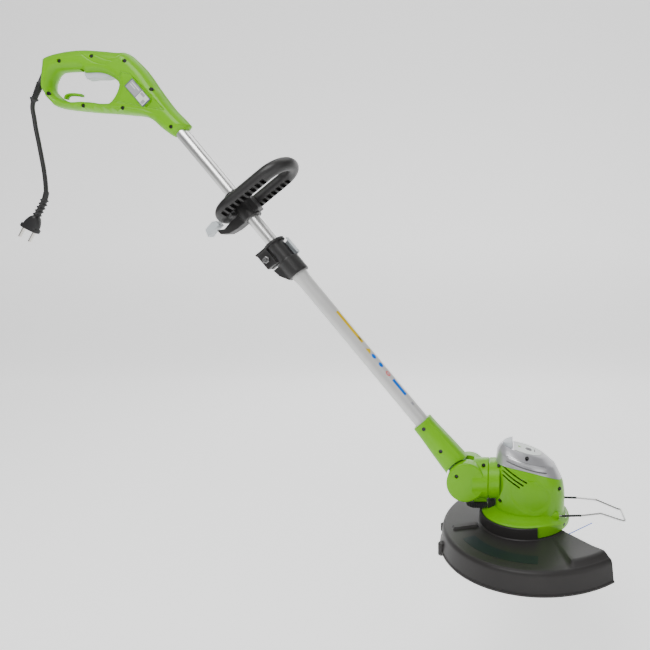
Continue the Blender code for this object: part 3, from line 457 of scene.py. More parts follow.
def handle_height(points, edge, screws):
    """Height of the moulded half above its split plane, in millimetres."""
    def dome(radius, top):
        return top * np.sqrt(1 - (1 - np.clip(edge / radius, 0, 1)) ** 2)
    high = dome(EDGE_ROUND, HANDLE_HALF)
    panel = np.array(PANEL, float)
    into = np.where(inside(points, panel), segment_distance(points, panel, True), 0.0)
    high = high - 2.6 * smoothstep(into / 2.2) * smoothstep((high - 11) / 5)
    pad = np.array(LABEL, float)
    pad_edge = segment_distance(points, pad, True) * np.where(inside(points, pad), 1, -1)
    high = np.where(edge > 6, np.maximum(high, HANDLE_HALF * smoothstep((pad_edge + 2.5) / 1.6)), high)
    rib = segment_distance(points, np.array(RIB, float), False)
    bar = 9.0 + np.sqrt(np.clip(64.0 - rib * rib, 0, None))
    high = np.where(rib < 8.0, np.maximum(high, np.minimum(bar, dome(7.0, HANDLE_HALF))), high)
    for groove in GROOVES:
        line = np.array([(p.x, p.y) for p in smooth_path([(x, z, 0) for x, z in groove], 6)])
        high = high - 0.7 * np.exp(-(segment_distance(points, line, False) / 0.7) ** 2)
    if screws:
        for place in HANDLE_SCREWS:
            away = np.hypot(*(points - np.array(place, float)).T)
            high = np.where(away < 3.45, np.minimum(high, SEAT_HIGH), high)
    return np.clip(high, SEAM + 0.1, HANDLE_HALF)


def handle_points(outlines, screws):
    """Plan points of a half: outlines, rings that follow them, and a grid between."""
    loops, found = [], []
    for outline in outlines:
        loops.append(outline)
        ahead, behind = np.roll(outline, -1, axis=0), np.roll(outline, 1, axis=0)
        along = ahead - behind
        normal = np.stack([-along[:, 1], along[:, 0]], 1) / np.hypot(*along.T)[:, None]
        for angle in (0.16, 0.33, 0.52, 0.72, 0.95):
            step = EDGE_ROUND * (1 - cos(angle))
            for way in (-1, 1):
                found.append((outline + way * normal * step, step))
    rings = []
    for points, step in found:
        gap = np.min([segment_distance(points, line, True) for line in outlines], axis=0)
        rings.append(points[(np.abs(gap - step) < 0.12 * step + 0.02) & solid(points, outlines)])
    if screws:
        for x, z in HANDLE_SCREWS:
            for radius in (3.3, 3.6):
                circle = [(x + radius * cos(pi * k / 10), z + radius * sin(pi * k / 10)) for k in range(20)]
                loops.append(np.array(circle))
    low, high = outlines[0].min(0), outlines[0].max(0)
    grid = np.stack(np.meshgrid(*(np.arange(low[axis], high[axis], GRID) for axis in (0, 1))), -1)
    grid = grid.reshape(-1, 2)
    gap = np.min([segment_distance(grid, line, True) for line in outlines], axis=0)
    grid = grid[solid(grid, outlines) & (gap > 7.0)]
    for loop in loops[len(outlines):]:
        grid = grid[segment_distance(grid, loop, True) > 0.4]
    return loops, np.concatenate(rings + [grid])


def solid(points, outlines):
    """True for points inside the first outline and outside the rest."""
    found = inside(points, outlines[0])
    for hole in outlines[1:]:
        found &= ~inside(points, hole)
    return found


def handle_half(name, side, node, screws):
    """One moulded half: a height field over the outline, hollowed for the trigger and the tube."""
    outlines = [rounded(HANDLE_OUTLINE), rounded(HANDLE_OPENING)]
    loops, loose = handle_points(outlines, screws)
    plan, edges = [], []
    for loop in loops:
        first = len(plan)
        plan += [tuple(point) for point in loop]
        edges += [(first + k, first + (k + 1) % len(loop)) for k in range(len(loop))]
    plan += [tuple(point) for point in loose]
    verts, _, faces = delaunay_2d_cdt([Vector(p) for p in plan], edges, [], 0, 1e-4)[:3]
    verts = np.array([(v.x, v.y) for v in verts])
    centres = np.array([verts[list(face)].mean(0) for face in faces])
    faces = [face for face, good in zip(faces, solid(centres, outlines)) if good]
    edge = np.min([segment_distance(verts, line, True) for line in outlines], axis=0)
    high = handle_height(verts, edge, screws)
    bm = bmesh.new()
    used = sorted({index for face in faces for index in face})
    top = {i: bm.verts.new((verts[i][0] * MM, side * high[i] * MM, verts[i][1] * MM)) for i in used}
    base = {i: bm.verts.new((verts[i][0] * MM, side * SEAM * MM, verts[i][1] * MM)) for i in used}
    count = {}
    for face in faces:
        bm.faces.new([top[i] for i in face])
        bm.faces.new([base[i] for i in reversed(face)])
        for k in range(3):
            key = (face[k], face[(k + 1) % 3])
            count[key] = count.get(key, 0) + 1
    for a, b in count:
        if (b, a) not in count:
            bm.faces.new((top[b], top[a], base[a], base[b]))
    made = finish_mesh(name, bm, "green_plastic", 40)
    for tool in handle_hollows():
        cut(made, tool)
    settle(made, 40)
    clear_tools()
    return keep(made, "grip", "green_plastic", node)


def handle_hollows():
    """Room for the trigger above the opening, and for the end of the upper tube."""
    bay = [(-765, 798), (-704, 798), (-704, 814.5), (-706, 816.5), (-706, 835), (-765, 835)]
    block = prism(bmesh.new(), [(x * MM, z * MM) for x, z in bay], -0.0085, 0.0085)
    return [finish_mesh("tool_bay", block), drum("tool_tube", rod_profile(0.0113, 0.70, 0.836), SHAFT, 48)]


TOOLS = []


def cut(made, tool, operation="DIFFERENCE"):
    modifier = made.modifiers.new(tool.name, "BOOLEAN")
    modifier.operation = operation
    modifier.solver = "EXACT"
    modifier.object = tool
    if tool not in TOOLS:
        TOOLS.append(tool)


def clear_tools():
    while TOOLS:
        bpy.data.objects.remove(TOOLS.pop(), do_unlink=True)


def make_handle():
    handle_half("handle_shell_near", -1, "handle_shell_left", True)
    handle_half("handle_shell_far", 1, "handle_shell_right", False)


# Motor head

BODY_X, BODY_AX, BODY_AY = 0.0075, 0.0590, 0.0515
BODY_ROWS = [(0.058, BODY_X, BODY_AX, BODY_AY, 0.0), (0.086, BODY_X, BODY_AX + 0.0008, BODY_AY, -0.04),
             (0.106, BODY_X, BODY_AX, BODY_AY - 0.001, -0.14),
             (0.128, BODY_X - 0.0015, BODY_AX - 0.0015, BODY_AY - 0.004, -0.26),
             (0.1515, 0.0015, 0.0505, 0.0400, -0.28), (0.1650, -0.0045, 0.0380, 0.0270, -0.29)]
BEVEL_ROWS = 5
BODY_WALL = 0.0028
OVAL_X, OVAL_Z, OVAL_LONG, OVAL_SHORT, OVAL_DEEP = 0.0065, 0.1020, 0.034, 0.0235, 0.0015
TOP_X, TOP_SLOPE = -0.0045, -0.29
BUTTON_X, BUTTON_R, BUTTON_LOW, BUTTON_HIGH, BUTTON_EDGE = -0.0225, 0.0165, 0.156, 0.181, 0.002
HALF_GAP = 0.00015
FLANGE_TOP, FLANGE_BOTTOM, FLANGE_R = 0.0645, 0.046, 0.0755
SWIVEL_X, NECK_Z, NECK_R = -0.0628, 0.1145, 0.033
GUIDE_Y, GUIDE_Z = 0.0355, 0.0643
VENT_WIDTH = 0.0026
GREEN_VENTS = [((-0.038, 0.145), (0.001, 0.1235)), ((-0.038, 0.138), (-0.005, 0.119)),
               ((-0.038, 0.131), (-0.011, 0.1155))]
SILVER_VENTS = [((-0.032, 0.1605), (0.034, 0.1415)), ((-0.033, 0.1535), (0.035, 0.1335))]
HOUSING_SCREWS = [(-0.0455, 0.1425, 0.0225), (-0.0435, 0.086, 0.0270), (0.0570, 0.106, 0.0290)]


def body_loft(shrink=0.0, count=144, dish=True):
    """Leaning oval housing, with a crease where the top bevel starts."""
    rows = smooth_path([Vector(row[:3]) for row in BODY_ROWS[:BEVEL_ROWS]], 10)
    extra = smooth_path([Vector((row[3], row[4], 0)) for row in BODY_ROWS[:BEVEL_ROWS]], 10)
    rows = [(*a, b.x, b.y) for a, b in zip(rows, extra)]
    last, top = rows[-1], BODY_ROWS[BEVEL_ROWS]
    for step in range(1, 5):
        share = step / 4
        row = [a + (b - a) * share for a, b in zip(last, top)]
        row[2] -= 0.0008 * share ** 6
        row[3] -= 0.0008 * share ** 6
        rows.append(tuple(row))
    low, high = (0.060, -shrink) if shrink else (0.0, 0.0)
    rings = []
    for z, centre, ax, ay, slope in rows:
        ring = []
        for k in range(count):
            angle = 2 * pi * k / count
            px, py = (ax - shrink) * cos(angle), (ay - shrink) * sin(angle)
            spot = Vector((centre + px, py, max(z, low) + slope * px + (high if z > 0.16 else 0)))
            if dish and not shrink:
                spot.y *= 1 - oval(spot.x, spot.z) * OVAL_DEEP / max(abs(ay), 0.01)
            ring.append(spot)
        rings.append(ring)
    if shrink:
        rings = [ring for ring, row in zip(rings, rows) if row[0] >= low or row is rows[-1]]
        rings[0] = [Vector((p.x, p.y, low)) for p in rings[0]]
    return loft(bmesh.new(), rings)


def oval(x, z):
    """1 inside the shallow oval dish of each side, 0 outside, soft at its edge."""
    dx, dz = x - OVAL_X, z - OVAL_Z
    turn = radians(-24)
    u, v = dx * cos(turn) + dz * sin(turn), -dx * sin(turn) + dz * cos(turn)
    away = sqrt((u / OVAL_LONG) ** 2 + (v / OVAL_SHORT) ** 2)
    return blend_step(1.03 - away, 0.0, 0.06)


def silver_edge(x):
    along = x - BODY_X
    return 0.139 - 0.27 * along - 3.0 * along * along


def cap_tool(name, offset, up):
    rows = []
    for index in range(41):
        x = -0.075 + 0.155 * index / 40
        edge = silver_edge(min(max(x, -0.056), 0.070)) + offset
        far = 0.20 if up > 0 else 0.02
        rows.append([Vector((x, y, z)) for y, z in ((-0.08, edge), (0.08, edge), (0.08, far), (-0.08, far))])
    return lofted(name, rows)


def rectangle(left, right, low, high):
    return [(left, low), (right, low), (right, high), (left, high)]


def prism(bm, outline, low, high):
    """Upright block along Y over an (x, z) outline."""
    return loft(bm, [[Vector((x, y, z)) for x, z in outline] for y in (low, high)])


def slot_outline(start, stop, width):
    """Long hole with round ends between two (x, z) points."""
    (x0, z0), (x1, z1) = start, stop
    turn = atan2(z1 - z0, x1 - x0)
    outline = []
    for x, z, first in ((x1, z1, -pi / 2), (x0, z0, pi / 2)):
        angles = [turn + first + pi * k / 6 for k in range(7)]
        outline += [(x + width / 2 * cos(angle), z + width / 2 * sin(angle)) for angle in angles]
    return outline


def vents_tool():
    """Slots through both sides of the green housing."""
    bm = bmesh.new()
    for start, stop in GREEN_VENTS:
        outline = slot_outline(start, stop, VENT_WIDTH)
        prism(bm, outline, -0.060, -0.028)
        prism(bm, outline, 0.028, 0.060)
    return finish_mesh("tool_vents", bm)


def flange_top(x):
    return FLANGE_TOP - 3.5 * max(0.0, x - 0.015) ** 2


def flange_mesh():
    """Round flange; a row without a drop lies on its flat underside."""
    rings = []
    rows = ((0.0745, None), (FLANGE_R - 0.0003, None), (FLANGE_R, -0.002), (FLANGE_R - 0.0003, -0.0006),
            (FLANGE_R - 0.0012, 0.0), (0.0690, 0.0010), (0.0620, 0.0030), (0.0560, 0.0062))
    for radius, drop in rows:
        ring = []
        for k in range(144):
            x, y = radius * cos(2 * pi * k / 144), radius * sin(2 * pi * k / 144)
            under = FLANGE_BOTTOM + (0 if radius < 0.075 else 0.0006)
            ring.append(Vector((x, y, under if drop is None else flange_top(x) + drop)))
        rings.append(ring)
    return lofted("tool_flange", rings)


def drum(name, profile, matrix, count=64, finish=None):
    return finish_mesh(name, lathe(bmesh.new(), profile, matrix, count), finish)


def rod_profile(radius, low, high, edge=0.0):
    if edge:
        return [(0, low), (radius - edge, low), (radius, low + edge), (radius, high - edge),
                (radius - edge, high), (0, high)]
    return [(0, low), (radius, low), (radius, high), (0, high)]


def screw_holes(name, radius, places):
    """Tool of short rods along Y; a place is (x, z, low y, high y)."""
    bm = bmesh.new()
    for x, z, low, high in places:
        lathe(bm, rod_profile(radius, low, high), along_y(x, z), 24)
    return finish_mesh(name, bm)


def housing_tools():
    """Tools that hollow both halves, and the screw recesses of the near one."""
    wires = bmesh.new()
    for y in (-GUIDE_Y, GUIDE_Y):
        lathe(wires, rod_profile(0.0024, -0.032, 0.080), along_x(y, GUIDE_Z), 24)
    places = [(x, z, -0.066, -depth + 0.003) for x, z, depth in HOUSING_SCREWS]
    common = [finish_mesh("tool_inner", body_loft(BODY_WALL, 72)),
              drum("tool_skirt", rod_profile(0.0715, 0.02, 0.0555), WORLD, 72),
              drum("tool_floor", rod_profile(0.0105, 0.04, 0.08), WORLD, 40),
              cap_tool("tool_above", -HALF_GAP, 1), vents_tool(),
              finish_mesh("tool_wires", wires),
              drum("tool_neck", rod_profile(0.0200, -0.09, -0.0385), along_x(0, NECK_Z), 48)]
    return common, screw_holes("tool_recess", 0.0036, places)


def make_housing():
    body = finish_mesh("tool_body", body_loft())
    ring = [(0, SWIVEL_X), (NECK_R - 0.0012, SWIVEL_X), (NECK_R, SWIVEL_X + 0.0012)]
    ring += [(NECK_R, -0.044), (0, -0.044)]
    for tool in (flange_mesh(), drum("tool_ring", ring, along_x(0, NECK_Z), 72), socket_blocks()):
        cut(body, tool, "UNION")
    bake(body)
    common, recess = housing_tools()
    TOOLS.append(body)
    room = rectangle(-0.12, 0.12, 0.0, 0.20)
    halves = (("housing_near", -1, "motor_housing_left"), ("housing_far", 1, "motor_housing_right"))
    for name, side, node in halves:
        low, high = sorted((side * HALF_GAP, side * 0.12))
        half = finish_mesh(name, prism(bmesh.new(), room, low, high), "green_plastic")
        cut(half, body, "INTERSECT")
        for tool in common + ([recess] if side < 0 else []):
            cut(half, tool)
        settle(half)
        keep(half, "head", "green_plastic", node)
    make_cap(common[0])
    clear_tools()


def settle(made, smooth=32):
    """Applies the cuts and leaves one material and clean shading."""
    bake(made)
    while len(made.data.materials) > 1:
        made.data.materials.pop()
    made.data.shade_smooth()
    made.data.set_sharp_from_angle(angle=radians(smooth))


def socket_blocks():
    """Small raised blocks where the guide wires enter the front."""
    bm = bmesh.new()
    for y in (-GUIDE_Y, GUIDE_Y):
        rings = []
        for x, size in ((0.030, 0.0062), (0.0520, 0.0062), (0.0545, 0.0056), (0.0555, 0.0042)):
            rings.append(ring_points(size, x, along_x(y, GUIDE_Z + 0.001), 28))
        loft(bm, rings)
    return finish_mesh("tool_sockets", bm)


def surface_strip(name, finish, target, start, stop, drop, way):
    """Thin strip that follows a moulded surface from one (x, z) point to another."""
    rings = []
    for index in range(49):
        share = index / 48
        width = 0.0011 * min(1.0, sqrt(max(0.02, 1 - (2 * share - 1) ** 2)) * 3)
        centre = Vector(start).lerp(Vector(stop), share)
        ring = []
        for across, rise in ((-width, -0.0002), (width, -0.0002), (width, 0.00012), (-width, 0.00012)):
            source = Vector((centre.x, way * 0.08, centre.y + drop + across))
            hit, spot = target.ray_cast(source, Vector((0, -way, 0)))[:2]
            ring.append(Vector((centre.x, (spot.y if hit else way * 0.03) + way * rise, source.z)))
        rings.append(ring)
    return lofted(name, rings, finish)


def make_cap(inner):
    cap = finish_mesh("top_cap", body_loft(0.0, 144, False), "silver_plastic")
    cut(cap, inner)
    cut(cap, cap_tool("tool_below", HALF_GAP, -1))
    cut(cap, finish_mesh("tool_button", button_block(0.0004, 0.146)))
    cut(cap, screw_holes("tool_cap_screw", 0.0034, [(0.002, 0.1585, -0.062, -0.030)]))
    settle(cap)
    keep(cap, "head", "silver_plastic", "motor_top_cap")
    # Each silver vent is painted, not cut: a dark strip of painted shade above its line and a mid-grey strip
    # of painted groove shading below it
    for index, (start, stop) in enumerate(SILVER_VENTS):
        for name, way in (("near", -1), ("far", 1)):
            for part, drop in (("shade", 0.0010), ("floor", -0.0011)):
                title = f"cap_vent_{index + 1}_{name}_{part}"
                strip = surface_strip(title, f"vent_{part}", cap, start, stop, drop, way)
                keep(strip, "head", "silver_plastic")


def button_block(grow=0.0, low=BUTTON_LOW, rounded_top=False):
    """Half-round block; its straight side faces the front."""
    radius, high = BUTTON_R + grow, BUTTON_HIGH

    def outline(inset, z):
        face = BUTTON_X + grow - inset
        points = [Vector((face, -radius + inset, z)), Vector((face, radius - inset, z))]
        for index in range(1, 24):
            angle = pi / 2 + pi * index / 24
            size = radius - inset
            points.append(Vector((BUTTON_X + size * cos(angle), size * sin(angle), z)))
        return points
    if not rounded_top:
        return loft(bmesh.new(), [outline(0, low), outline(0, high)])
    rings = [outline(0, low)]
    for angle in (0, 0.3, 0.6, 0.9, 1.2, 1.5):
        rings.append(outline(BUTTON_EDGE * (1 - cos(angle)), high - BUTTON_EDGE * (1 - sin(angle))))
    for ring in rings[1:]:
        for point in ring:
            point.z += 0.16 * (point.x - BUTTON_X) - 0.0005
    return loft(bmesh.new(), rings)


def make_button():
    made = finish_mesh("release_button", button_block(rounded_top=True), "pale_grey_plastic", 40)
    keep(made, "release_button", "pale_grey_plastic", "swivel_release_button")


def make_top_label():
    """Pale plate on the sloping top, with three plain marks."""
    def plate_ring(grow, rise):
        points = [(-0.0185 - grow, 0.0222 + grow)]
        for index in range(33):
            a = pi / 2 - pi * index / 32
            points.append((TOP_X + (0.0330 + grow) * max(cos(a), 0) ** 0.8, (0.0235 + grow) * sin(a)))
        points.append((-0.0185 - grow, -0.0222 - grow))
        return [Vector((x, y, rise + TOP_SLOPE * (x - TOP_X))) for x, y in points]
    rings = [plate_ring(0, 0.1653), plate_ring(0, 0.1657), plate_ring(-0.0004, 0.1660)]
    keep(lofted("top_plate", rings, "label_film"), "head", "label_film", "top_label")
    hexagon = [(0.0055 + 0.0062 * cos(pi * k / 3), 0.0075 * sin(pi * k / 3)) for k in range(6)]
    triangle = [(-0.0125, 0.004), (-0.0125, -0.004), (-0.0065, 0.0)]
    bar = rectangle(0.0150, 0.0165, -0.006, 0.006)
    marks = [("plate_mark_dark", "dark_mark", hexagon), ("plate_mark_green", "green_plastic", triangle),
             ("plate_mark_grey", "dark_mark", bar)]
    for name, finish, outline in marks:
        rings = [[Vector((x, y, z + TOP_SLOPE * (x - TOP_X))) for x, y in outline] for z in (0.1659, 0.16615)]
        keep(lofted(name, rings, finish), "head", "label_film")


# Guard

GUARD_X = 0.0246
GUARD_START, GUARD_SWEEP, COLLAR_END = radians(-52), radians(180), radians(-95)
CREASE_R, CREASE_Z, RIM_R, RIM_Z, GUARD_WALL = 0.1655, 0.0425, 0.1697, 0.012, 0.0028
MIDDLE_R, RIDGE_R, WEDGE_PART = 0.125, 0.150, 0.133
GUARD_TOP = FLANGE_BOTTOM - 0.0003
STEP_ANGLE = -165


def outward(degrees):
    return Vector((cos(radians(degrees)), sin(radians(degrees)), 0))


def guard_section(theta, wedge):
    """Closed outline of the guard at one angle; wedge, 0 to 1, raises its middle."""
    way = Vector((cos(theta), sin(theta), 0))
    centre = Vector((GUARD_X, 0, 0))
    reach = -GUARD_X * way.x + sqrt((FLANGE_R + 0.004) ** 2 - (GUARD_X * way.y) ** 2)
    inner = -GUARD_X * way.x + sqrt((FLANGE_R + 0.0005) ** 2 - (GUARD_X * way.y) ** 2)
    collar = FLANGE_TOP - 0.0008 if theta < COLLAR_END else FLANGE_BOTTOM - 0.0002
    low = GUARD_TOP
    top = [(reach, low + 0.0012), (reach + 0.0012, low), (MIDDLE_R, low + 0.0030 * wedge),
           (RIDGE_R - 0.004, low + 0.0056 * wedge), (RIDGE_R, low + 0.0058 * wedge),
           (RIDGE_R + 0.004, low + 0.0044 * wedge - 0.0002)]
    fillet = []
    a = Vector((CREASE_R - 0.0058, low - 0.0004 + 0.0006 * wedge))
    b = Vector((CREASE_R + 0.0004, low - 0.0004))
    c = Vector((CREASE_R + 0.0012, 0.0375))
    for index in range(11):
        share = index / 10
        fillet.append(tuple(a * (1 - share) ** 2 + b * 2 * share * (1 - share) + c * share ** 2))
    rim = [(RIM_R + out, RIM_Z + up) for out, up in (
        (-0.0006, 0.0046), (-0.0002, 0.0032), (0.0010, 0.0028), (0.0012, 0.0004), (0.0006, 0.0))]
    under = [(RIM_R - GUARD_WALL, RIM_Z), (CREASE_R - GUARD_WALL + 0.001, CREASE_Z - 0.004),
             (CREASE_R - GUARD_WALL - 0.004, low - GUARD_WALL), (MIDDLE_R, low - GUARD_WALL),
             (inner - 0.004, low - GUARD_WALL), (inner - 0.004, low), (inner, low + 0.0001), (inner, collar)]
    points = [(reach - 0.0008, collar), (reach, collar - 0.0008)] + top + fillet + rim + under
    return [centre + way * radius + Vector((0, 0, z)) for radius, z in points]


def make_guard():
    steps = [index / 160 for index in range(161)]
    edge = (GUARD_START - COLLAR_END) / GUARD_SWEEP
    steps = sorted([step for step in steps if abs(step - edge) > 0.003] + [edge - 1e-5, edge + 1e-5])
    rings = []
    for part in steps:
        wedge = 1 - blend_step(part, WEDGE_PART - 0.010, WEDGE_PART + 0.002)
        rings.append(guard_section(GUARD_START - GUARD_SWEEP * part, wedge))
    guard = lofted("cutting_guard", rings, "charcoal_plastic", 28)
    keep(guard, "head", "charcoal_plastic", "guard")
    low = GUARD_TOP
    strip = []
    corners = rectangle(0.1240, 0.1455, low - 0.0004, low + 0.00025)
    for index in range(41):
        way = outward(-93.5 - 56.5 * index / 40)
        strip.append([Vector((GUARD_X, 0, z)) + way * radius for radius, z in corners])
    keep(lofted("guard_plain_strip", strip, "strip_film"), "head", "charcoal_plastic")
    step = []
    way, side = outward(STEP_ANGLE), outward(STEP_ANGLE + 90)
    for share in (0.0, 0.06, 0.5, 0.94, 1.0):
        radius = 0.1085 + 0.0425 * share
        tall = 0.0008 if share in (0.0, 1.0) else 0.0034
        corners = ((-0.0075, -0.0004), (-0.0055, tall), (0.0045, tall), (0.0065, -0.0004))
        step.append([Vector((GUARD_X, 0, low + z)) + way * radius + side * across for across, z in corners])
    keep(lofted("guard_moulded_step", step, "charcoal_plastic"), "head", "charcoal_plastic")
    for name, angle, radius, low, high in (
            ("guard_boss_lower", -164, 0.0068, 0.0070, 0.0265),
            ("guard_boss_upper", 178, 0.0030, 0.0190, 0.0330)):
        spot = Vector((GUARD_X, 0, 0)) + outward(angle) * 0.1690
        profile = rod_profile(radius, low, high, 0.0012)
        boss = drum(name, profile, Matrix.Translation(spot), 40, "charcoal_plastic")
        keep(boss, "head", "charcoal_plastic")


# Plug, strain relief and small handle parts

def make_relief():
    """Ribbed sleeve that tapers from the handle to a small end flange."""
    into = columns(CORD_EXIT, ACROSS, CORD_DOWN.cross(ACROSS), CORD_DOWN)
    profile = [(0, -0.020), (0.0044, -0.020), (0.0044, -0.002), (0.0056, 0.0008)]
    for index in range(8):
        z = 0.0032 + 0.0030 * index
        radius = 0.0055 - 0.0013 * (z - 0.0008) / 0.0267
        groove = radius - 0.0006
        profile += [(radius, z - 0.0009), (groove, z - 0.0006), (groove, z), (radius, z + 0.0004)]
    profile += [(0.0042, 0.0272), (0.0056, 0.0280), (0.0060, 0.0286), (0.0060, 0.0304), (0.0056, 0.0310),
                (0.0042, 0.0328), (0.0036, 0.0345), (0, 0.0345)]
    relief = finish_mesh("strain_relief_sleeve", lathe(bmesh.new(), profile, into, 48), "black_rubber", 35)
    keep(relief, "grip", "black_rubber", "cord_strain_relief")


PLUG_TOP = CORD_ROUTE[-1] + Vector((0, 0, -0.0020))
PLUG_FACE = PLUG_TOP + Vector((-0.0285, 0.0, -0.0610))


def plug_width(part):
    """Ribbed neck, domed body and end flange, by share of the plug's length."""
    if part < 0.64:
        rib = (0.5 - 0.5 * cos((part - 0.16) / 0.48 * 10 * pi)) ** 2 if part > 0.16 else 0.0
        return 0.0040 + 0.0009 * part + 0.0021 * rib
    if part < 0.91:
        return 0.0048 + 0.0090 * sin((part - 0.64) / 0.27 * pi / 2) ** 0.8
    return 0.0138 + 0.0034 * min(1.0, (part - 0.91) / 0.008)


def make_plug():
    start = PLUG_TOP + Vector((0.0001, 0, 0.0035))
    spine = smooth_path([start, PLUG_TOP, PLUG_TOP + Vector((-0.004, 0, -0.014)),
                         PLUG_TOP + Vector((-0.0105, 0, -0.027)), PLUG_FACE], 40)
    count = len(spine)
    run = [0.0]
    for a, b in zip(spine, spine[1:]):
        run.append(run[-1] + (b - a).length)
    rings = []
    for index, point in enumerate(spine):
        tangent = (spine[min(index + 1, count - 1)] - spine[max(index - 1, 0)]).normalized()
        side = tangent.cross(ACROSS).normalized()
        part = run[index] / run[-1]
        wide = plug_width(part)
        deep = min(wide, 0.0068)
        end = 1.0 - 0.0007 / wide if index in (0, count - 1) else 1.0
        power = 1.0 if part < 0.64 else 0.8
        ring = []
        for k in range(48):
            cx, sy = cos(2 * pi * k / 48), sin(2 * pi * k / 48)
            px = abs(cx) ** power * (1 if cx >= 0 else -1)
            py = abs(sy) ** power * (1 if sy >= 0 else -1)
            ring.append(point + (side * px * wide + ACROSS * py * deep) * end)
        rings.append(ring)
    return keep(lofted("mains_plug", rings, "black_rubber", 35), "grip", "black_rubber", "plug_body")


def flat_patch(name, finish, outline, low, high, nodes=()):
    """Thin plate lying in the shaft's plane, from an (x, z) outline in millimetres."""
    block = prism(bmesh.new(), [(x * MM, z * MM) for x, z in outline], low, high)
    return keep(finish_mesh(name, block, finish), "grip", "label_film", *nodes)


def label_quad(a0, a1, b0, b1):
    """Part of the rating plate: shares along its long and short sides."""
    corner, along, across = Vector((-681, 786)), Vector((31, -36)), Vector((13, 13))
    return [tuple(corner + along * a + across * b) for a, b in ((a0, b0), (a1, b0), (a1, b1), (a0, b1))]


def make_label():
    face = -0.0172
    flat_patch("rating_plate", "label_frame", label_quad(0, 1, 0, 1), face, face - 0.00055, ("rating_label",))
    top, high = face - 0.0005, face - 0.00068
    flat_patch("rating_plate_upper", "label_grey", label_quad(0.04, 0.55, 0.06, 0.94), top, high)
    flat_patch("rating_plate_lower", "label_film", label_quad(0.57, 0.96, 0.06, 0.94), top, high)
    for index, (a0, a1, b0, b1) in enumerate([(0.10, 0.50, 0.72, 0.80), (0.10, 0.36, 0.52, 0.60),
                                              (0.60, 0.78, 0.62, 0.86), (0.82, 0.93, 0.12, 0.50)]):
        finish = "label_film" if index < 2 else "label_grey"
        flat_patch(f"rating_plate_block_{index + 1}", finish, label_quad(a0, a1, b0, b1), high + 0.00005,
                   high - 0.00015)


def small_remeshes():
    for node, name, body, finish, voxel, passes in (
            ("switch_trigger", "trigger_lever", "trigger", "pale_grey_plastic", 0.0005, 8),
            ("cord_retainer_hook", "cord_hook", "grip", "green_plastic", 0.0005, 8),
            ("aux_clamp_base", "aux_clamp", "aux_clamp", "black_plastic", 0.0007, 6),
            ("aux_cam_lever", "aux_lever_moulding", "aux_lever", "pale_grey_plastic", 0.0006, 8),
            ("telescope_collar", "telescope_clamp", "lower_shaft", "black_plastic", 0.0006, 4),
            ("collar_flip_lever", "collar_lever_moulding", "collar_lever", "pale_grey_plastic", 0.0005, 4),
            ("collar_nut", "clamp_nut", "lower_shaft", "steel", 0.0003, 2)):
        made = remeshed(node, name, body, finish, voxel, passes)
        made.data.shade_smooth()


# Shaft

def sweep(path, radius, sides, closed, normal):
    """Bar along a path; its first side is square to the normal."""
    rings, count = [], len(path)
    for index, point in enumerate(path):
        ahead = path[(index + 1) % count] if closed else path[min(index + 1, count - 1)]
        behind = path[index - 1] if closed else path[max(index - 1, 0)]
        tangent = (ahead - behind).normalized()
        side = tangent.cross(normal).normalized()
        other = tangent.cross(side)
        turns = [2 * pi * k / sides for k in range(sides)]
        rings.append([point + side * cos(turn) * radius + other * sin(turn) * radius for turn in turns])
    return loft(bmesh.new(), rings, closed)


AUX_T, AUX_HALF, AUX_HINGE_U, AUX_TIP_U, AUX_BAR_R = 0.6105, 0.0344, -0.034, 0.108, 0.012


def make_aux_loop():
    """Padded loop with a row of moulded pockets on the side that faces the head."""
    low, high = AUX_HINGE_U + AUX_HALF, AUX_TIP_U - AUX_HALF
    path = []
    for centre, first in ((high, -pi / 2), (low, pi / 2)):
        for index in range(25):
            angle = first + pi * index / 24
            path.append(on_shaft(AUX_T, centre + AUX_HALF * cos(angle), AUX_HALF * sin(angle)))
        if centre == high:
            path += [on_shaft(AUX_T, high + (low - high) * k / 10, AUX_HALF) for k in range(1, 10)]
    path += [on_shaft(AUX_T, low + (high - low) * k / 10, -AUX_HALF) for k in range(1, 10)]
    loop = finish_mesh("aux_loop_grip", sweep(path, AUX_BAR_R, 36, True, UP), "black_plastic", 35)
    pockets = bmesh.new()
    for y in (-AUX_HALF, AUX_HALF):
        for index in range(9):
            u = (-0.020 if y < 0 else -0.004) + 0.0105 * index
            corners = rectangle(u - 0.0034, u + 0.0034, y - 0.0098, y + 0.0050)
            rings = [[on_shaft(AUX_T - deep, a, b) for a, b in corners] for deep in (0.0050, 0.0140)]
            loft(pockets, rings)
    cut(loop, finish_mesh("tool_pockets", pockets))
    settle(loop)
    clear_tools()
    keep(loop, "aux_handle", "black_plastic", "aux_handle_loop")


LOWER_R, UPPER_R, WALL, TUBE_FLARE = 0.0125, 0.011, 0.0011, 0.0015


def make_tubes():
    upper = [(UPPER_R - WALL, 0.250), (UPPER_R - 0.0003, 0.250), (UPPER_R, 0.2503), (UPPER_R, 0.8347),
             (UPPER_R - 0.0003, 0.835), (UPPER_R - WALL, 0.835)]
    inner, flare = UPPER_R + 0.0003, LOWER_R + TUBE_FLARE
    lower = [(inner, 0.048), (LOWER_R, 0.048), (LOWER_R, 0.435)]
    for t in (0.437, 0.441, 0.445, 0.449, 0.453):
        lower.append((LOWER_R + TUBE_FLARE * blend_step(t, 0.437, 0.453), t))
    lower += [(flare, 0.4677), (flare - 0.0003, 0.468), (inner, 0.468)]
    for name, body, profile, node, finish in (
            ("upper_tube_skin", "grip", upper, "upper_tube", "tube_aluminium"),
            ("lower_tube_skin", "lower_shaft", lower, "lower_tube", "tube_pale")):
        tube = finish_mesh(name, lathe(bmesh.new(), profile, SHAFT, 96), finish, 35)
        keep(tube, body, "tube_aluminium", node)


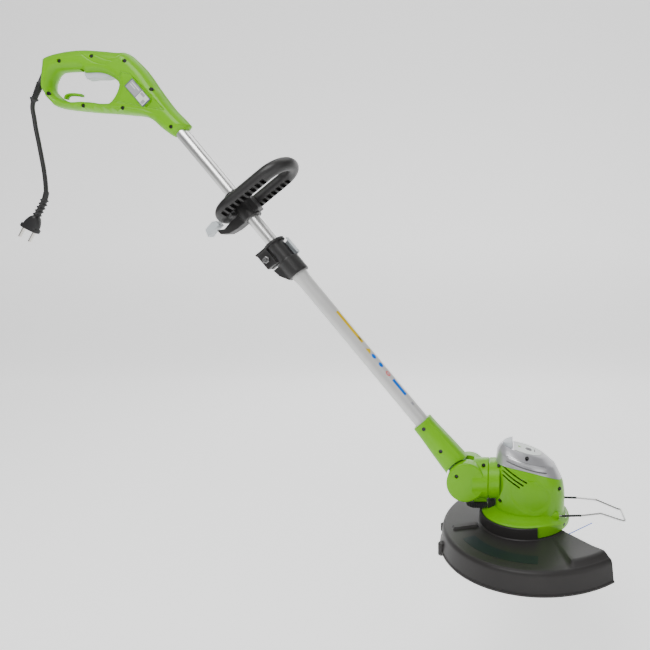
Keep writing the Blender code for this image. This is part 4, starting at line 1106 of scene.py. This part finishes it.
def decal(name, finish, t_mid, t_half, phi_mid, phi_half, shape):
    """Thin plain shape wrapped on the tube; shape sets how its length varies across."""
    rings = []
    for index in range(13):
        s = -1 + 2 * index / 12
        shapes = {"bar": 1.0, "disc": sqrt(max(0.02, 1 - s * s)), "triangle": max(0.03, (1 - s) / 2)}
        half = shapes[shape] * t_half
        phi = radians(phi_mid + phi_half * s)
        out = -ACROSS * cos(phi) + SIDE * sin(phi)
        rings.append([PIVOT + UP * (t_mid + end * half) + out * (LOWER_R + rise)
                      for end, rise in ((-1, 0.00008), (1, 0.00008), (1, 0.00022), (-1, 0.00022))])
    keep(lofted(name, rings, finish), "lower_shaft", "label_film")


def make_decals():
    for name, finish, t, half, phi, wide, shape in (
            ("decal_bar_yellow", "mark_yellow", 0.3275, 0.0345, 60, 12, "bar"),
            ("decal_spot_dark", "dark_mark", 0.301, 0.0040, 60, 10, "disc"),
            ("decal_triangle_yellow", "mark_yellow", 0.275, 0.0065, 58, 16, "triangle"),
            ("decal_disc_blue_1", "mark_blue", 0.262, 0.0050, 56, 15, "disc"),
            ("decal_disc_blue_2", "mark_blue", 0.243, 0.0050, 56, 15, "disc"),
            ("decal_disc_red", "mark_red", 0.2235, 0.0050, 56, 15, "disc"),
            ("decal_disc_pale", "tube_pale", 0.2235, 0.0034, 56, 10, "disc"),
            ("decal_bar_blue", "mark_blue", 0.193, 0.0170, 56, 12, "bar"),
            ("decal_mark_grey", "label_grey", 0.157, 0.0030, 52, 9, "bar")):
        decal(name, finish, t, half, phi, wide, shape)


# Socket, neck and pedal

SOCKET_TOP, DRUM_R, DRUM_HALF, TONGUE_HALF = 0.122, 0.0322, 0.031, 0.009
TONGUE_GAP = TONGUE_HALF + 0.0003
SOCKET_SCREWS = [(-0.173, 0.203), (-0.144, 0.166)]
# Along the shaft, half width in the shaft's plane, half width across it
SOCKET_ROWS = [(SOCKET_TOP, 0.0164, 0.0164), (SOCKET_TOP - 0.0010, 0.0172, 0.0172), (0.100, 0.0178, 0.0178),
               (0.080, 0.0192, 0.0189), (0.060, 0.0205, 0.020), (0.040, 0.0215, 0.0208),
               (0.020, 0.0222, 0.0215)]


def make_socket():
    halves = (("socket_near", -1, "shaft_socket_left"), ("socket_far", 1, "shaft_socket_right"))
    for name, side, node in halves:
        rings = []
        for t, half_u, half_y in SOCKET_ROWS:
            ring = []
            for index in range(41):
                angle = -pi / 2 + pi * index / 40
                bulge = half_y * max(cos(angle), 0.0) ** 0.6
                ridge = 0.0007 * np.exp(-((angle - 0.95) / 0.10) ** 2)
                ring.append(on_shaft(t, (half_u + ridge) * sin(angle), side * (HALF_GAP + bulge + ridge)))
            rings.append(ring)
        half = lofted(name, rings, "green_plastic")
        cut(half, drum("tool_bore", rod_profile(LOWER_R + 0.0003, 0.0475, 0.13), SHAFT, 64))
        cut(half, drum("tool_drum", rod_profile(DRUM_R + 0.0028, -0.04, 0.04), along_y(PIVOT.x, PIVOT.z), 96))
        corners = rectangle(-0.0165, 0.0165, -TONGUE_GAP, TONGUE_GAP)
        slot_rings = [[on_shaft(t, u, y) for u, y in corners] for t in (0.015, 0.0472)]
        cut(half, lofted("tool_tongue", slot_rings))
        if side < 0:
            places = [(x, z, -0.03, -0.0150) for x, z in SOCKET_SCREWS]
            cut(half, screw_holes("tool_socket_screws", 0.0035, places))
        settle(half)
        clear_tools()
        keep(half, "lower_shaft", "green_plastic", node)


def make_neck():
    axis = along_y(PIVOT.x, PIVOT.z)
    edge = [(DRUM_R - 0.0025 * (1 - sin(angle)), DRUM_HALF - 0.0025 * (1 - cos(angle)))
            for angle in (pi / 2, 1.2, 0.8, 0.4, 0)]
    profile = [(0, -DRUM_HALF)] + [(radius, -z) for radius, z in reversed(edge)] + edge + [(0, DRUM_HALF)]
    neck = finish_mesh("neck_moulding", lathe(bmesh.new(), profile, axis, 96), "green_plastic")
    end = SWIVEL_X - 0.0003
    barrel = [(0.008, -0.090), (NECK_R, -0.090), (NECK_R, end - 0.0010), (NECK_R - 0.0010, end), (0.008, end)]
    cut(neck, drum("tool_barrel", barrel, along_x(0, NECK_Z), 96), "UNION")
    lug = bmesh.new()
    corners = rectangle(-0.0885, -0.0665, -0.010, 0.010)
    loft(lug, [[Vector((x, y, z)) for x, y in corners] for z in (0.0768, 0.0850)])
    cut(neck, finish_mesh("tool_lug", lug), "UNION")
    cut(neck, drum("tool_pocket", rod_profile(0.0240, -TONGUE_GAP, TONGUE_GAP), axis, 72))
    fan = [(0.0, 0.0)] + [(0.060 * cos(radians(a)), 0.060 * sin(radians(a))) for a in range(68, 208, 14)]
    fan_rings = [[PIVOT + Vector((x, y, z)) for x, z in fan] for y in (-TONGUE_GAP, TONGUE_GAP)]
    cut(neck, lofted("tool_fan", fan_rings))
    cut(neck, drum("tool_bolt", rod_profile(0.0043, -0.0265, 0.04), axis, 32))
    places = [(-0.0715, 0.142, -0.04, -0.0165), (-0.116, 0.128, -0.04, -0.0280)]
    cut(neck, screw_holes("tool_neck_screws", 0.0034, places))
    settle(neck)
    clear_tools()
    keep(neck, "neck", "green_plastic", "neck_knuckle")


def screw_heads():
    """Blackened heads at the bottom of the recesses that the frame leaves plain."""
    places = [("neck_screw", "neck", -0.0715, 0.142, 0.0168), ("drum_screw", "neck", -0.116, 0.128, 0.0283),
              ("cap_screw", "head", 0.002, 0.1585, 0.0303)]
    places += [(f"housing_screw_{k + 1}", "head", x, z, depth - 0.0027)
               for k, (x, z, depth) in enumerate(HOUSING_SCREWS)]
    for name, body, x, z, depth in places:
        face = -depth - 0.0012
        profile = [(0, face), (0.0016, face), (0.0029, face + 0.0006), (0.0031, -depth), (0, -depth)]
        keep(drum(name, profile, along_y(x, z), 24, "screw_dark"), body, "steel")


def latch_block():
    """Catch block on the flange that the pedal's tip rests against."""
    block = bmesh.new()
    prism(block, rectangle(-0.0645, -0.0530, 0.0640, 0.0798), -0.0118, 0.0118)
    for index in range(3):
        for low, high in ((-0.0130, -0.0110), (0.0110, 0.0130)):
            x = -0.0640 + 0.0040 * index
            prism(block, rectangle(x, x + 0.0018, 0.0645, 0.0793), low, high)
    keep(finish_mesh("swivel_latch_block", block, "black_plastic"), "head", "black_plastic")
    way = outward(-33)
    origin = Vector((0, 0, 0.0530)) + way * (FLANGE_R - 0.0004)
    place = columns(origin, Z_AXIS.cross(way), Z_AXIS, way)
    profile = [(0, 0), (0.0026, 0), (0.0026, 0.0005), (0.0016, 0.0009), (0, 0.0009)]
    keep(drum("flange_screw", profile, place, 24, "screw_dark"), "head", "steel")


def make_pedal():
    """Foot pedal with upright ribs along both sides."""
    outline = [(-0.1015, 0.0765), (-0.0655, 0.0765), (-0.0655, 0.072), (-0.072, 0.067), (-0.090, 0.067),
               (-0.100, 0.071)]
    bm = prism(bmesh.new(), outline, -0.0118, 0.0118)
    pedal = finish_mesh("foot_pedal_moulding", bm, "black_plastic")
    ribs = bmesh.new()
    for side in (-1, 1):
        for index in range(8):
            x = -0.0975 + 0.0040 * index
            low, high = sorted((side * 0.0110, side * 0.0130))
            start, stop = (0.0676, 0.0676) if index > 1 else (0.0705, 0.0700)
            prism(ribs, [(x, start), (x + 0.0018, stop), (x + 0.0018, 0.0762), (x, 0.0762)], low, high)
    cut(pedal, finish_mesh("tool_ribs", ribs), "UNION")
    settle(pedal)
    clear_tools()
    keep(pedal, "foot_pedal", "black_plastic", "foot_pedal")


def make_spool():
    housing = [(0.0033, 0.0440), (0.0405, 0.0440), (0.0405, 0.0170), (0.0430, 0.0170), (0.0440, 0.0182),
               (0.0440, 0.0430), (0.0430, 0.0470), (0.0400, 0.0492), (0.0380, 0.0500), (0.0033, 0.0500)]
    cap = [(0, 0.0), (0.0165, 0.0), (0.0185, 0.0003), (0.0240, 0.0012), (0.0300, 0.0032), (0.0350, 0.0066),
           (0.0385, 0.0110), (0.0398, 0.0160), (0.0392, 0.0185), (0.0110, 0.0185), (0.0105, 0.0300),
           (0, 0.0300)]
    for name, body, profile, node in (("spool_case", "spool", housing, "spool_housing"),
                                      ("bump_knob", "bump", cap, "bump_cap")):
        made = finish_mesh(name, lathe(bmesh.new(), profile, WORLD, 96), "black_plastic", 30)
        keep(made, body, "black_plastic", node)


GUIDE_WIRE_R, GUIDE_SLEEVE_R = 0.0015, 0.00175


def make_guide():
    """Bent wire guide, the same on both sides, with a sleeve on each arm."""
    route = [Vector((x, -y, z)) * MM for x, y, z in (
        (12, 35.5, 64.3), (40, 35.5, 64.3), (60, 35.5, 64.3), (88, 34.2, 64.3), (94, 33.5, 64.1),
        (122, 27, 64), (128, 25.8, 63.2), (161, 21.8, 50.8), (167, 20.6, 49.8), (168.3, 18.0, 49.7))]
    half = smooth_path(route, 6)
    path = half + [Vector((p.x, -p.y, p.z)) for p in reversed(half)]
    wire = sweep(path, GUIDE_WIRE_R, 20, False, Z_AXIS)
    keep(finish_mesh("edge_guide_bar", wire, "steel", 60), "edge_guide", "steel", "edge_guide_wire")
    for index, way in enumerate((1, -1)):
        sleeve = [Vector((p.x, p.y * way, p.z)) for p in half if 0.0585 < p.x < 0.094]
        tube = sweep(sleeve, GUIDE_SLEEVE_R, 20, False, Z_AXIS)
        keep(finish_mesh(f"guide_sleeve_{index + 1}", tube, "black_rubber", 60), "edge_guide", "steel")


place_camera()
FINISH = finishes()
make_cord()
studio()
dress_nodes()
make_handle()
make_housing()
make_button()
make_top_label()
make_guard()
make_relief()
make_label()
small_remeshes()
make_aux_loop()
make_tubes()
make_decals()
make_socket()
make_neck()
screw_heads()
make_pedal()
latch_block()
make_spool()
make_guide()
